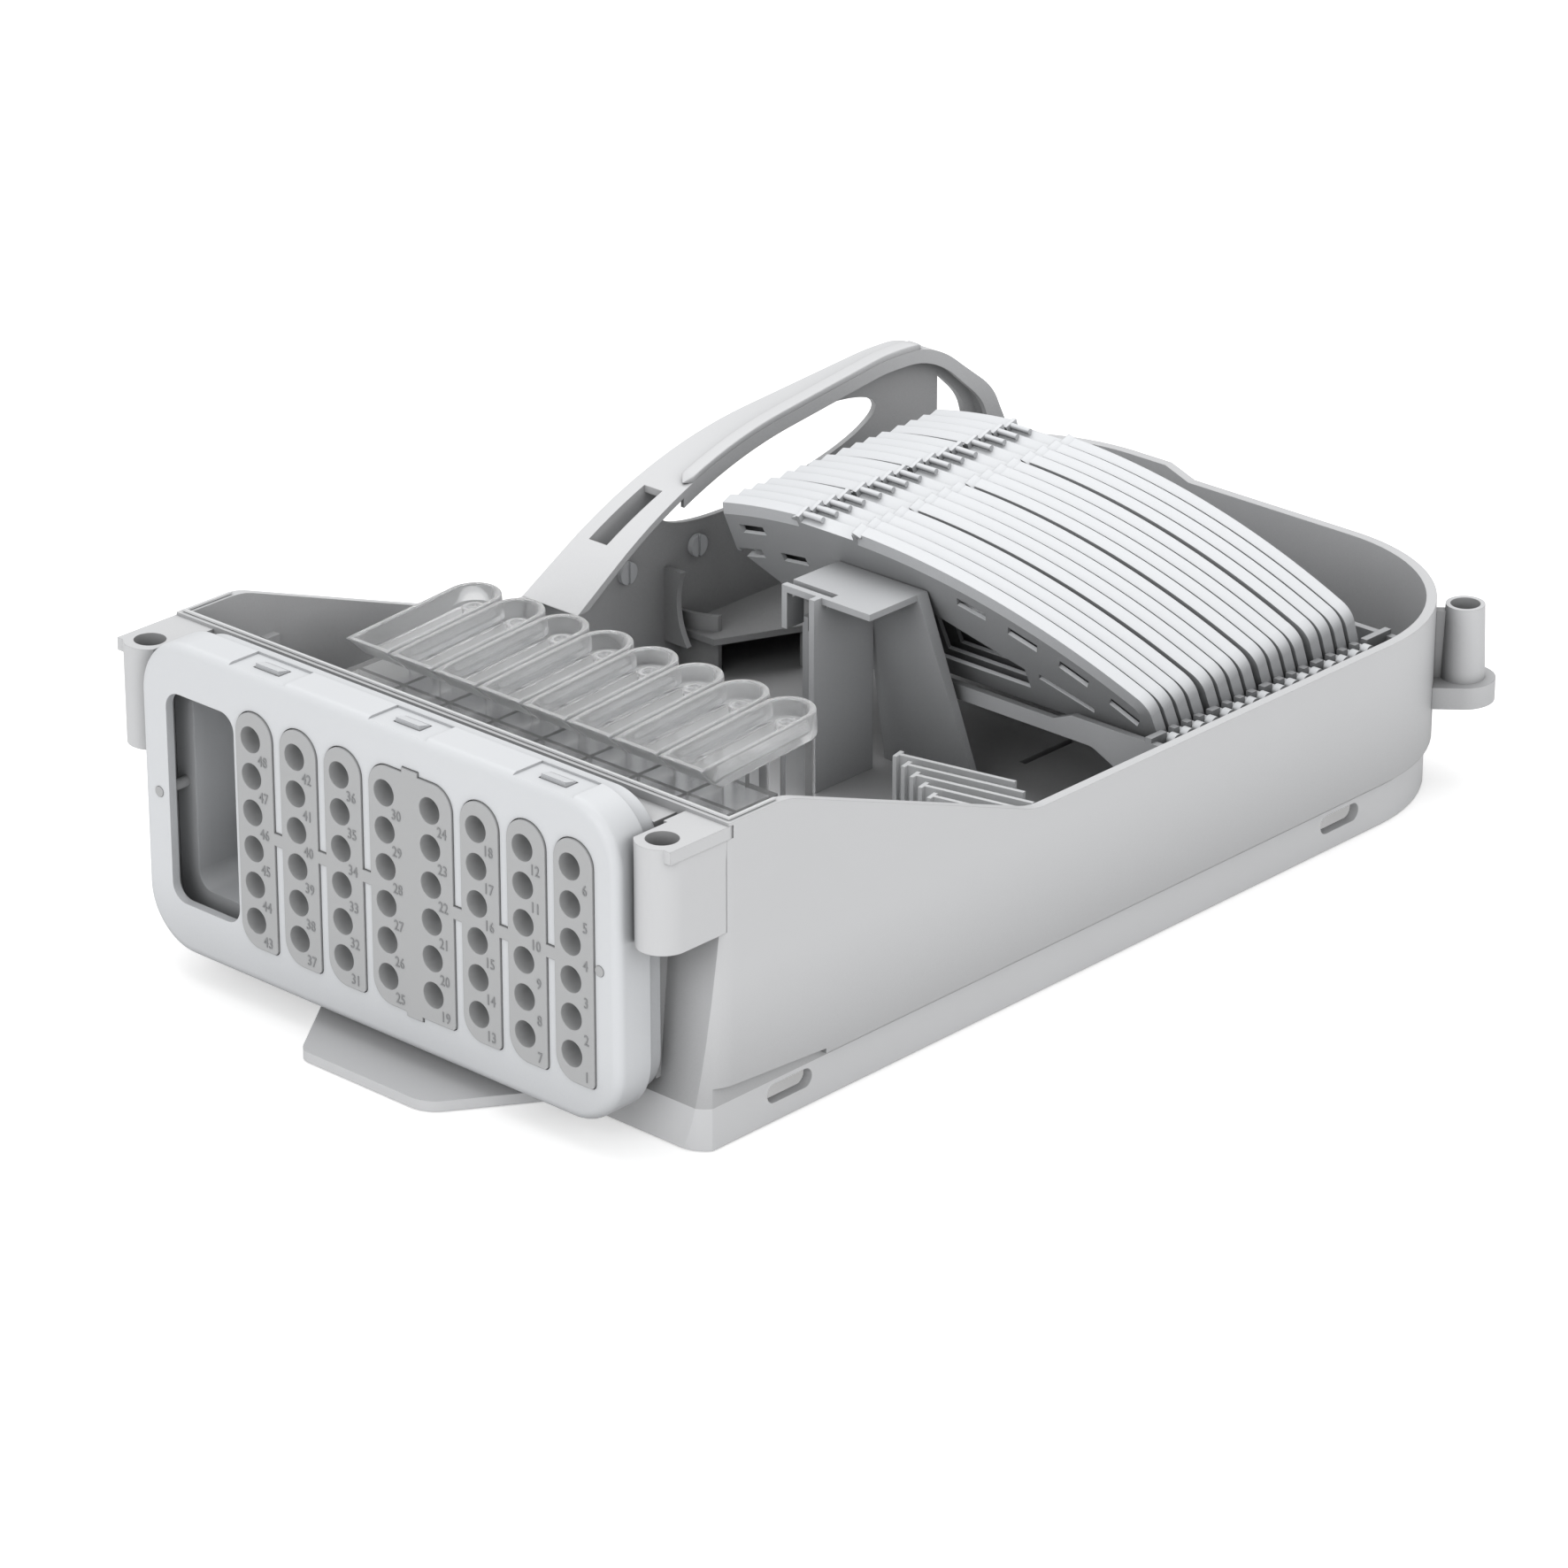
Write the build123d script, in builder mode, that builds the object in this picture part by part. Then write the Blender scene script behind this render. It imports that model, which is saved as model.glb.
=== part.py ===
from build123d import *
import os
from math import atan2, cos, degrees, radians, sin, tan

os.makedirs("parts", exist_ok=True)

# Frame: Z is up from the mounting plane, X runs across, Y runs from the cable end to the rear.
# Distances called "from the front" start at the foot of the front wall.

# Cable block widths, which set the width of the housing
port_columns = 8
port_rows = 6
port_pitch = 16.7
port_side = 16.11
entry_side = 10.2
entry_width = 26.2
entry_to_port = 6.99
ear_offset = 6.3
ear_inset = 7.5
port_span = (port_columns - 1) * port_pitch
block_width = entry_side + entry_width + entry_to_port + port_span + port_side
boss_x = block_width / 2 + ear_offset

# Housing sizes
base_width = 2 * (boss_x + ear_inset)
base_length = 339.5
tongue_reach = 31.0
front = (tongue_reach - base_length) / 2
rear = front + base_length
wall = 3.0
front_corner = 10.0
rear_corner = 60.0
rim_high = 91.0
rim_low = 55.7
front_set_back = 8.4
front_slope = front_set_back / rim_high
rim_high_end = 30.0
rim_low_start = 127.0
rim_bend = 22.0
floor_bottom = 13.7
floor_top = 16.5
ledge = 2.0
ledge_step = 44.8
ledge_front_low = 15.1
ledge_front_high = 17.5
ledge_turn = 8.0
reach = base_width
rear_hump_left = -83.0
rear_hump_right = -19.0
rear_hump_rise = 3.2
hump_slope = 9.0
bench_front = base_length - 141.5
bench_turn = base_length - 115.5
bench_top = 30.0
bench_right = -70.0
bench_plate = 2.0
guide_right = -85.0
guide_gap = 2.0
guide_sweep = 3.0
guide_front = bench_front + guide_gap
guide_rear = guide_front + guide_sweep
guide_thickness = 1.5
guide_low = 16.5
guide_high = 35.0
blade_right = -88.0
blade_y = base_length - 144.5
blade_low = 27.0
blade_high = 50.0
blade_thickness = 2.0
wall_tab_y = 38.4
wall_tab_z = 74.7
wall_tab_size = 5.0
floor_slot_x = 21.7
floor_slot_y = 226.5
floor_slot_length = 23.0
floor_slot_width = 2.4
strap_slot_length = 17.0
strap_slot_height = 5.4
strap_slot_z = 8.0
strap_slots = (33.0, 260.8)

# Tongue below the cable block
tongue_centre = 7.5
tongue_front_width = 46.0
tongue_root_width = 92.0
tongue_thickness = 3.0

# Rim seal on the front rim
cord_inset = 1.2
cord_width = 0.9
cord_proud = 0.5
cord_bed = 0.2

# Screw bosses for the cover
ear_y = -8.0
ear_radius = 7.25
ear_hole = 8.8
ear_bottom = 61.0
ear_top = 90.2
ear_cap = 3.6
ear_cap_front = 5.0
ear_depth = 22.0
rear_boss_inset = 16.5
rear_boss_y = base_length - rear_boss_inset
rear_boss_foot = 6.45
rear_boss_head = 5.65
rear_boss_hole = 8.6
rear_boss_top = 53.0
flange_bottom = 24.0
flange_top = 30.6
flange_radius = 9.5
web_thickness = 3.0
web_top = 51.0
web_length = 10.0

# Cable block
latches = (-1, 0, 1)
row_pitch = 10.477
port_bore = 7.4
entry_left = -block_width / 2 + entry_side
entry_right = entry_left + entry_width
first_port_x = entry_right + entry_to_port
port_mid_z = 52.8
block_height = 90.2
block_corner = 17.0
block_gap = 0.4
block_front = front - 18.0
cover_depth = 11.8
cover_wall = 2.5
cover_face = 2.6
cover_round = 2.6
step_inset = 2.5
pad_width = 13.6
pad_shift = 1.2
pad_height = 68.1
pad_round = 6.6
pad_small_round = 1.5
pad_proud = 0.5
bridge_height = 3.5
tab_width = 5.7
tab_proud = 1.3
middle_columns = (port_columns // 2 - 1, port_columns // 2)
soft_gap = 0.25
seal_thickness = 6.6
seal_margin = 2.4
entry_low = 22.5
entry_high = 83.5
entry_round = 5.0
collar_inset = 4.2
collar_drop = 9.1
collar_width = block_width - 2 * collar_inset
collar_height = block_height - 2 * collar_drop
collar_depth = 10.0
neck_inset = 8.7
neck_drop = 12.4
neck_width = block_width - 2 * neck_inset
neck_height = block_height - 2 * neck_drop
neck_depth = 16.0
neck_gap = 0.2
neck_slot = 9.4
latch_pitch = 52.4
latch_middle = 9.2
latch_panel_width = 21.0
latch_panel_depth = 0.6
latch_panel_rear = 7.2
latch_width = 9.0
latch_gap = 0.4
latch_window_front = 4.4
latch_window_length = 4.6
latch_arm = 2.0
pin_radius = 1.5
pin_inset = 6.36
pin_x = block_width / 2 - pin_inset
pin_fit = 0.05
pin_length = 13.0
pin_proud = 0.2

# Clear cable cups and their rack
cup_count = 8
cup_gap = 0.5
cup_inset = 3.3
cup_width = port_pitch - cup_gap
cup_first_left = entry_left + cup_inset
cup_front = 45.0
cup_length = 49.0
cup_height = 7.5
cup_nose = 7.0
cup_wall = 1.3
cup_lift = 72.7
cup_tilt = 3.75
rack_left_margin = 4.8
rack_right_margin = 4.6
rack_left = cup_first_left - rack_left_margin
rack_right = cup_first_left + cup_count * port_pitch + rack_right_margin
rack_front = 24.0
rack_rear = 68.0
rack_top = 68.0
rack_wall = 1.6
cell_rows = 3
cell_wall = 1.4
post_width = 9.0
post_y = 90.0
post_depth = 4.0

# Splice trays
tray_count = 16
group_size = 4
tray_pitch = 5.4
group_pitch = 22.87
tray_lean = 24.0
fan_step = 0.37
hinge_from_rear = 138.9
hinge_first = base_length - hinge_from_rear
hinge_z = 48.0
tray_thickness = 4.7
tray_floor = 1.2
tray_rim = 1.3
band_slope = 1.0
band_slope_depth = 3.4
top_radius = 180.6
tray_top_w = 43.4
top_centre_x = -18.0
top_centre_w = tray_top_w - top_radius
tray_left = -65.5
tray_right = 84.0
tray_left_low = 20.0
tray_knee_x = -48.0
tray_knee_w = 9.5
tray_foot_x = -38.5
tray_foot_w = 5.5
tray_bottom = -2.2
tray_shoulder = 13.0
tray_nose = 7.0
shaft_radius = 1.5
shaft_fit = 0.08
knob_radius = 2.1
knob_length = 2.6
rail_gap = 1.0
right_rail = tray_right + rail_gap
left_rail = -42.0
rail_thickness = 2.2
top_pin_x = -32.0
top_pin_length = 7.0
top_pin_radius = 0.9
top_pin_lift = 1.26
recess_right = -13.0
recess_depth = 2.2

slot_row_radius = 172.0
slot_row_start = 57.3
slot_row_turn = 17.7
slot_row_count = 4
slot_length = 10.0
slot_width = 3.0
left_row_radius = 163.0
left_row_start = 98.3
left_row_turn = 6.4
left_row_count = 2
left_slot_angle = 102.5
low_slot_x = 54.0
low_slot_w = 6.9
low_slot_length = 19.0
low_slot_width = 1.8
low_slot_turn = -20.0
opening_left = 4.6
opening_knee = 6.6
opening_right = 40.0
opening_high = 22.6
opening_mid = 11.0
opening_low = 4.0
holder_x = 14.0
holder_w = 27.0
holder_z = 1.2
holder_length = 36.0
holder_height = 2.4
holder_pitch = 3.0
holder_count = 3

# Tray carrier
gantry_front_gap = 8.2
gantry_rear_gap = 95.4
gantry_front = hinge_first - gantry_front_gap
gantry_thickness = 2.2
gantry_low = 42.0
gantry_high = 46.5
gantry_rear = hinge_first + gantry_rear_gap
gantry_rise = 52.0
gantry_head = 49.2
gantry_step = 6.6
gantry_leg = 8.0
arch_foot = 86.0
arch_side = 79.0
arch_mid = 36.0
arch_start = 66.0
arch_round = 7.0
rail_top = 50.6
rail_bottom = 43.0
rib_thickness = 1.6
rib_low = 40.0
rib_high = 45.7
rib_end = 95.0
wall_clear = 4.0
tray_middle = base_width / 2 - wall - wall_clear - rib_end

# Prop, comb and guard
prop_left = -9.0
prop_from_hinge = 41.6
prop_depth = 32.0
prop_front = hinge_first - prop_from_hinge
prop_rear = prop_front + prop_depth
prop_top = 75.0
prop_plate = 2.0
cut_margin = 1.0
prop_shelf_left = -22.0
prop_shelf_start = 3.0
prop_shelf_end = 26.6
prop_shelf_front = prop_front + prop_shelf_start
prop_shelf_rear = prop_front + prop_shelf_end
hook_width = 7.0
hook_drop = 13.0
shelf_slot_length = 17.0
shelf_slot_width = 2.6
leg_foot_right = 26.0
leg_head_right = 11.0
comb_count = 6
comb_top = 38.0
comb_length = 37.6
comb_turn = 12.0
comb_first_x = 23.4
comb_from_prop = 0.5
comb_first_y = prop_front + comb_from_prop
comb_step_x = 6.4
comb_step_y = -3.7
comb_plate = 1.3
comb_bar = 4.2
comb_foot = 5.2
guard_thickness = 1.8
guard_lift = 1.0
guard_bottom = floor_top + guard_lift
guard_gap = 0.1
guard_from_rear = 199.8
shoulder_run = 53.3
crest_run = 160.3
end_run = 179.8
guard_start = base_length - guard_from_rear
guard_shoulder_y = guard_start + shoulder_run
guard_shoulder_z = 85.0
guard_crest_y = guard_start + crest_run
guard_crest_z = 92.0
guard_end = guard_start + end_run
band_start_width = 22.0
band_rear_width = 11.0
band_length = 140.0
lip_start = 48.0
lip_depth = 4.2
lip_thickness = 1.3
band_slot_start = 22.5
band_slot_length = 23.0
band_slot_width = 8.0
band_slot_edge = 4.0
strap_drop = 5.0
rear_window_start = 165.3
rear_window_low = 66.5
rear_window_depth = 50.0
low_window_run = 156.3
low_window_length = 34.0
low_window_height = 18.6
guard_shoulder_round = 180.0
guard_crest_round = 16.0
guard_heel_y = guard_start + 174.3
guard_heel_z = 78.0
guard_heel_round = 14.0
oval_turn = 5.0
oval_run = 98.3
oval_y = guard_start + oval_run
oval_z = 70.7
oval_length = 93.0
oval_height = 19.5
fastener_radius = 3.4
fastener_head_height = 1.6
fastener_first_run = 37.3
fastener_second_run = 66.8
fastener_first = guard_start + fastener_first_run
fastener_second = guard_start + fastener_second_run
fastener_z = 53.2


def save(builder, label):
    """Name one finished piece and write it to its own file."""
    builder.part.label = label
    export_step(builder.part, f"parts/{label}.step")


def tub_block(low, high, inset):
    """Solid with the plan of the tub and its leaning front, set in from the outer faces."""
    with BuildPart() as block:
        with BuildSketch(Plane.XY.offset(low)) as plan:
            with Locations((0, (front + rear) / 2)):
                Rectangle(base_width - 2 * inset, base_length - 2 * inset)
            fillet(plan.vertices().group_by(Axis.Y)[0], front_corner - min(inset, wall))
            fillet(plan.vertices().group_by(Axis.Y)[-1], rear_corner - inset)
        extrude(amount=high - low)
        lean = side_profile(
            (inset - front_slope * reach, -reach), (inset + front_slope * 2 * reach, 2 * reach),
            (-reach, 2 * reach), (-reach, -reach),
        )
        extrude(lean.sketch, amount=reach, both=True, mode=Mode.SUBTRACT)
    return block.part


def side_profile(*points):
    """Closed outline in the YZ plane, with Y measured from the front."""
    with BuildSketch(Plane.YZ) as profile:
        with BuildLine():
            Polyline(*[(front + y, z) for y, z in points], close=True)
        make_face()
    return profile


def pad_outline(centre, left_round, right_round, width):
    """One pad of the port seal with its rounded corners, as a face on the XZ plane."""
    with BuildSketch(Plane.XZ) as pad:
        with Locations((centre, port_mid_z)):
            Rectangle(width, pad_height)
        fillet(pad.vertices().group_by(Axis.Y)[-1], pad_round)
        fillet(pad.vertices().group_by(Axis.Y)[0].sort_by(Axis.X)[0], left_round)
        fillet(pad.vertices().group_by(Axis.Y)[0].sort_by(Axis.X)[-1], right_round)
    return pad.face()


def port_x(column):
    """Centre of one port column."""
    return first_port_x + column * port_pitch


def seal_shape(grow):
    """Outline of all pads with bridges and tabs, widened by a clearance."""
    middle = sum(port_x(column) for column in middle_columns) / 2 + pad_shift
    with BuildSketch(Plane.XZ) as outline:
        for column in range(port_columns):
            if column not in middle_columns:
                add(pad_outline(port_x(column) + pad_shift, pad_round, pad_small_round, pad_width))
        add(pad_outline(middle, pad_round, pad_small_round, pad_width + port_pitch))
        with Locations((middle, port_mid_z)):
            Rectangle(port_pitch * (port_columns - 1), bridge_height)
            Rectangle(tab_width, pad_height + 2 * tab_proud)
        if grow:
            offset(amount=grow)
    return outline.sketch


def entry_shape(grow):
    """Window for an uncut cable."""
    with BuildSketch(Plane.XZ) as window:
        with Locations(((entry_left + entry_right) / 2, (entry_low + entry_high) / 2)):
            RectangleRounded(
                entry_right - entry_left + 2 * grow, entry_high - entry_low + 2 * grow, entry_round
            )
    return window.sketch


def latch_x(number):
    """Middle of one latch of the cable block."""
    return latch_middle + number * latch_pitch


def pin_places(proud):
    """Places of the two pins at the ends of the cable block, standing proud of its face."""
    y = block_front - proud
    return [Location((side * pin_x, y, port_mid_z), (90, 0, 0)) for side in (-1, 1)]


def at_depth(shape, y):
    """Move a shape from the XZ plane to a depth."""
    return shape.moved(Location((0, y, 0)))


# Housing base: tub, floor, skirt, bosses and tongue in one moulding
with BuildPart() as housing:
    add(tub_block(0, rim_high, 0))
    with BuildSketch() as outside_skirt:
        Rectangle(2 * reach, 2 * base_length)
        with Locations((0, rear - base_length)):
            Rectangle(base_width - 2 * ledge, 2 * base_length - 2 * ledge, mode=Mode.SUBTRACT)
        skirt_corners = outside_skirt.vertices().filter_by(lambda v: abs(v.Y - rear + ledge) < 1)
        fillet(skirt_corners, rear_corner - ledge)
    extrude(amount=floor_bottom, mode=Mode.SUBTRACT)
    front_ledge = side_profile(
        (-ledge, 0), (ledge_step, 0), (ledge_step, ledge_front_low),
        (ledge_turn, ledge_front_high), (-ledge, ledge_front_high),
    )
    for side in (-1, 1):
        extrude(
            front_ledge.sketch.moved(Location((side * (base_width / 2 - ledge), 0, 0))),
            amount=side * reach, mode=Mode.SUBTRACT,
        )
    with Locations((0, front + collar_depth / 2, port_mid_z)):
        Box(collar_width, collar_depth, collar_height)
    add(tub_block(floor_top, rim_high + wall, wall), mode=Mode.SUBTRACT)
    with BuildSketch(Plane.YZ) as rim_cut:
        with BuildLine():
            Polyline(
                (front - reach, rim_high), (front + rim_high_end, rim_high),
                (front + rim_low_start, rim_low), (rear + reach, rim_low),
                (rear + reach, 2 * rim_high), (front - reach, 2 * rim_high), close=True,
            )
        make_face()
        fillet(rim_cut.vertices().filter_by(lambda v: abs(v.X - front - rim_high_end) < 1), rim_bend)
        fillet(rim_cut.vertices().filter_by(lambda v: abs(v.X - front - rim_low_start) < 1), rim_bend)
    extrude(amount=reach, both=True, mode=Mode.SUBTRACT)
    with BuildSketch(Plane.XZ.offset(-(rear - wall)), mode=Mode.PRIVATE) as hump:
        with BuildLine():
            Polyline(
                (rear_hump_left, rim_low - wall), (rear_hump_left, rim_low),
                (rear_hump_left + hump_slope, rim_low + rear_hump_rise),
                (rear_hump_right - hump_slope, rim_low + rear_hump_rise),
                (rear_hump_right, rim_low), (rear_hump_right, rim_low - wall), close=True,
            )
        make_face()
    with BuildPart(mode=Mode.PRIVATE) as hump_block:
        add(tub_block(rim_low - wall, rim_low + 2 * rear_hump_rise, 0))
        add(tub_block(0, rim_high, wall), mode=Mode.SUBTRACT)
        extrude(hump.sketch, amount=rear_corner, both=True, mode=Mode.INTERSECT)
        with Locations((0, front, 0)):
            Box(2 * reach, base_length, 4 * rim_high, mode=Mode.SUBTRACT)
    add(hump_block.part)
    with Locations((-base_width / 2 + wall, front + wall_tab_y, wall_tab_z)):
        Box(wall_tab_size, wall_tab_size, wall, align=(Align.CENTER, Align.CENTER, Align.CENTER))
    with Locations((floor_slot_x, front + floor_slot_y, floor_top)):
        Box(floor_slot_width, floor_slot_length, 4 * wall, mode=Mode.SUBTRACT)
    skirt_inset = ledge + wall
    add(tub_block(-wall, floor_bottom, skirt_inset), mode=Mode.SUBTRACT)
    with BuildSketch() as tongue:
        with BuildLine():
            Polyline(
                (tongue_centre - tongue_root_width / 2, front + ledge),
                (tongue_centre - tongue_front_width / 2, front - tongue_reach),
                (tongue_centre + tongue_front_width / 2, front - tongue_reach),
                (tongue_centre + tongue_root_width / 2, front + ledge),
                close=True,
            )
        make_face()
        fillet(tongue.vertices().group_by(Axis.Y)[0].sort_by(Axis.X)[0], front_corner / 2)
        fillet(tongue.vertices().group_by(Axis.Y)[0].sort_by(Axis.X)[-1], front_corner)
    extrude(amount=tongue_thickness)
    with BuildSketch(Plane.YZ) as straps:
        with Locations(*[(front + y, strap_slot_z) for y in strap_slots]):
            SlotOverall(strap_slot_length, strap_slot_height)
    extrude(amount=reach, both=True, mode=Mode.SUBTRACT)
    with Locations((0, front, port_mid_z)):
        Box(
            neck_width + 2 * neck_gap, 2 * (collar_depth + wall), neck_height + 2 * neck_gap,
            mode=Mode.SUBTRACT,
        )
    for y in (fastener_first, fastener_second):
        with Locations(Location((-base_width / 2, front + y, fastener_z), (0, 90, 0))):
            Cylinder(fastener_radius / 2 + shaft_fit, 4 * wall, mode=Mode.SUBTRACT)
save(housing, "housing_base")

# Cover screw ears at the cable end, one on each side
for side, label in ((-1, "cover_ear_left"), (1, "cover_ear_right")):
    with BuildPart() as ear:
        with BuildSketch(Plane.XY.offset(ear_bottom)) as ear_plan:
            with Locations((side * boss_x, front + ear_y)):
                Circle(ear_radius)
            with Locations((side * boss_x, front + ear_y + ear_depth / 2)):
                Rectangle(2 * ear_radius, ear_depth)
        extrude(amount=ear_top - ear_bottom)
        with Locations(
            (side * (base_width / 2 - ear_radius / 2), front + ear_y - ear_cap_front, ear_top)
        ):
            Box(
                ear_radius, ear_depth + ear_cap_front, ear_cap,
                align=(Align.CENTER, Align.MIN, Align.MAX),
            )
        add(tub_block(0, 2 * rim_high, 0), mode=Mode.SUBTRACT)
        with Locations((0, front, port_mid_z)):
            Box(
                block_width + 2 * block_gap, reach, block_height + 2 * block_gap,
                align=(Align.CENTER, Align.MAX, Align.CENTER), mode=Mode.SUBTRACT,
            )
        with Locations((side * boss_x, front + ear_y, ear_top)):
            Cylinder(
                ear_hole / 2, ear_top, align=(Align.CENTER, Align.CENTER, Align.MAX),
                mode=Mode.SUBTRACT,
            )
    save(ear, label)

# Cover screw bosses at the rear corners, one on each side
for side, label in ((-1, "cover_boss_left"), (1, "cover_boss_right")):
    turn = degrees(
        atan2(rear_boss_y - base_length + rear_corner, boss_x + rear_corner - base_width / 2)
    )
    with BuildPart() as boss:
        boss_place = Plane((side * boss_x, front + rear_boss_y, flange_bottom))
        inward = boss_place.rotated((0, 0, 180 + turn if side > 0 else -turn))
        with BuildSketch(inward) as flange:
            Circle(flange_radius)
            with Locations((web_length / 2, 0)):
                Rectangle(web_length, 2 * flange_radius)
        extrude(amount=flange_top - flange_bottom)
        with BuildSketch(inward) as web:
            with Locations((web_length / 2, 0)):
                Rectangle(web_length, web_thickness)
        extrude(amount=web_top - flange_bottom)
        with Locations((side * boss_x, front + rear_boss_y, (flange_top + rear_boss_top) / 2)):
            Cone(rear_boss_foot, rear_boss_head, rear_boss_top - flange_top)
        add(tub_block(0, rim_high, 0), mode=Mode.SUBTRACT)
        with Locations((side * boss_x, front + rear_boss_y, rear_boss_top)):
            Cylinder(
                rear_boss_hole / 2, rear_boss_top,
                align=(Align.CENTER, Align.CENTER, Align.MAX), mode=Mode.SUBTRACT,
            )
    save(boss, label)

# Gland cover: front frame of the cable block
with BuildPart() as cover:
    with BuildSketch(Plane.XZ) as block_face:
        with Locations((0, port_mid_z)):
            RectangleRounded(block_width, block_height, block_corner)
    extrude(at_depth(block_face.sketch, block_front + cover_depth), amount=cover_depth)
    fillet(cover.edges().filter_by(lambda e: e.center().Y < block_front + 0.01), cover_round)
    with BuildSketch(Plane.XZ) as block_inside:
        with Locations((0, port_mid_z)):
            RectangleRounded(
                block_width - 2 * cover_wall, block_height - 2 * cover_wall, block_corner - cover_wall
            )
    extrude(
        at_depth(block_inside.sketch, block_front + cover_depth), amount=cover_depth - cover_face,
        mode=Mode.SUBTRACT,
    )
    extrude(at_depth(seal_shape(soft_gap), block_front), amount=-cover_face, mode=Mode.SUBTRACT)
    extrude(at_depth(entry_shape(0), block_front), amount=-cover_face, mode=Mode.SUBTRACT)
    with Locations(*[(latch_x(n), block_front + latch_window_front, port_mid_z) for n in latches]):
        Box(
            latch_width + 2 * latch_gap, latch_window_length, 2 * block_height,
            align=(Align.CENTER, Align.MIN, Align.CENTER), mode=Mode.SUBTRACT,
        )
    with Locations(*pin_places(0)):
        Cylinder(pin_radius + pin_fit, 4 * cover_face, mode=Mode.SUBTRACT)
    for side in (-1, 1):
        panel_z = port_mid_z + side * block_height / 2
        with Locations(*[(latch_x(n), block_front + latch_window_front, panel_z) for n in latches]):
            Box(
                latch_panel_width, 2 * latch_panel_rear, 2 * latch_panel_depth, mode=Mode.SUBTRACT,
            )
save(cover, "gland_cover")

# Gland body: rear half of the block with the neck into the housing
with BuildPart() as body:
    with BuildSketch(Plane.XZ) as step_face:
        with Locations((0, port_mid_z)):
            RectangleRounded(
                block_width - 2 * step_inset, block_height - 2 * step_inset, block_corner - step_inset
            )
    extrude(at_depth(step_face.sketch, front), amount=-(block_front + cover_depth - front))
    plug_front = block_front + cover_face + seal_thickness + 2 * soft_gap
    plug_width = block_width - 2 * cover_wall - 2 * latch_gap
    plug_height = block_height - 2 * cover_wall - 2 * latch_gap
    with BuildSketch(Plane.XZ) as plug:
        with Locations((0, port_mid_z)):
            RectangleRounded(plug_width, plug_height, block_corner - cover_wall - latch_gap)
    body_front = block_front + cover_depth
    extrude(at_depth(plug.sketch, body_front), amount=body_front - plug_front)
    with Locations((0, front, port_mid_z)):
        Box(neck_width, neck_depth, neck_height, align=(Align.CENTER, Align.MIN, Align.CENTER))
    latch_reach = cover_depth - latch_window_front - 2 * latch_gap
    for n in latches:
        for side in (-1, 1):
            arm_z = port_mid_z + side * (plug_height / 2 - latch_arm / 2)
            tab_z = port_mid_z + side * (block_height / 2 - cover_wall / 2 - latch_gap)
            with Locations((latch_x(n), block_front + cover_depth, arm_z)):
                Box(latch_width, latch_reach, latch_arm, align=(Align.CENTER, Align.MAX, Align.CENTER))
            with Locations((latch_x(n), block_front + latch_window_front + latch_gap, tab_z)):
                Box(
                    latch_width, latch_window_length - 2 * latch_gap, cover_wall,
                    align=(Align.CENTER, Align.MIN, Align.CENTER),
                )
    for column in range(port_columns):
        with Locations((port_x(column), front, port_mid_z)):
            Box(
                neck_slot, 4 * neck_depth, row_pitch * (port_rows - 1) + port_bore,
                mode=Mode.SUBTRACT,
            )
    extrude(at_depth(entry_shape(0), block_front), amount=-4 * neck_depth, mode=Mode.SUBTRACT)
    with Locations(*pin_places(0)):
        Cylinder(pin_radius + pin_fit, 2 * pin_length, mode=Mode.SUBTRACT)
save(body, "gland_body")

# Port seal: one soft moulding with all bores
with BuildPart() as seal:
    pad_depth = cover_face + pad_proud + 2 * soft_gap
    extrude(at_depth(seal_shape(0), block_front - pad_proud), amount=-pad_depth)
    seal_left = entry_right + seal_margin / 2
    seal_right = port_x(port_columns - 1) + port_pitch / 2 - seal_margin / 4
    with Locations(((seal_left + seal_right) / 2, block_front + cover_face + soft_gap, port_mid_z)):
        Box(
            seal_right - seal_left, seal_thickness, pad_height + 2 * seal_margin,
            align=(Align.CENTER, Align.MIN, Align.CENTER),
        )
    for column in range(port_columns):
        low_z = port_mid_z - row_pitch * (port_rows - 1) / 2
        rows = [low_z + row * row_pitch for row in range(port_rows)]
        with Locations(*[Location((port_x(column), block_front, z), (90, 0, 0)) for z in rows]):
            Cylinder(port_bore / 2, 4 * seal_thickness, mode=Mode.SUBTRACT)
save(seal, "port_seal")

# Gland pins: two alike
with BuildPart() as pins:
    with Locations(*pin_places(pin_proud)):
        Cylinder(pin_radius, pin_length, align=(Align.CENTER, Align.CENTER, Align.MAX))
save(pins, "gland_pins")

# Rim seal: cord along the front rim
with BuildPart() as rim_cord:
    add(tub_block(rim_high + cord_bed, rim_high + cord_bed + cord_proud, cord_inset))
    add(tub_block(rim_high, rim_high + 2 * wall, cord_inset + cord_width), mode=Mode.SUBTRACT)
    with Locations((0, front + rim_high_end - wall, 0)):
        Box(
            2 * reach, 4 * reach, 2 * reach, align=(Align.CENTER, Align.MIN, Align.CENTER),
            mode=Mode.SUBTRACT,
        )
save(rim_cord, "rim_seal")

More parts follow.
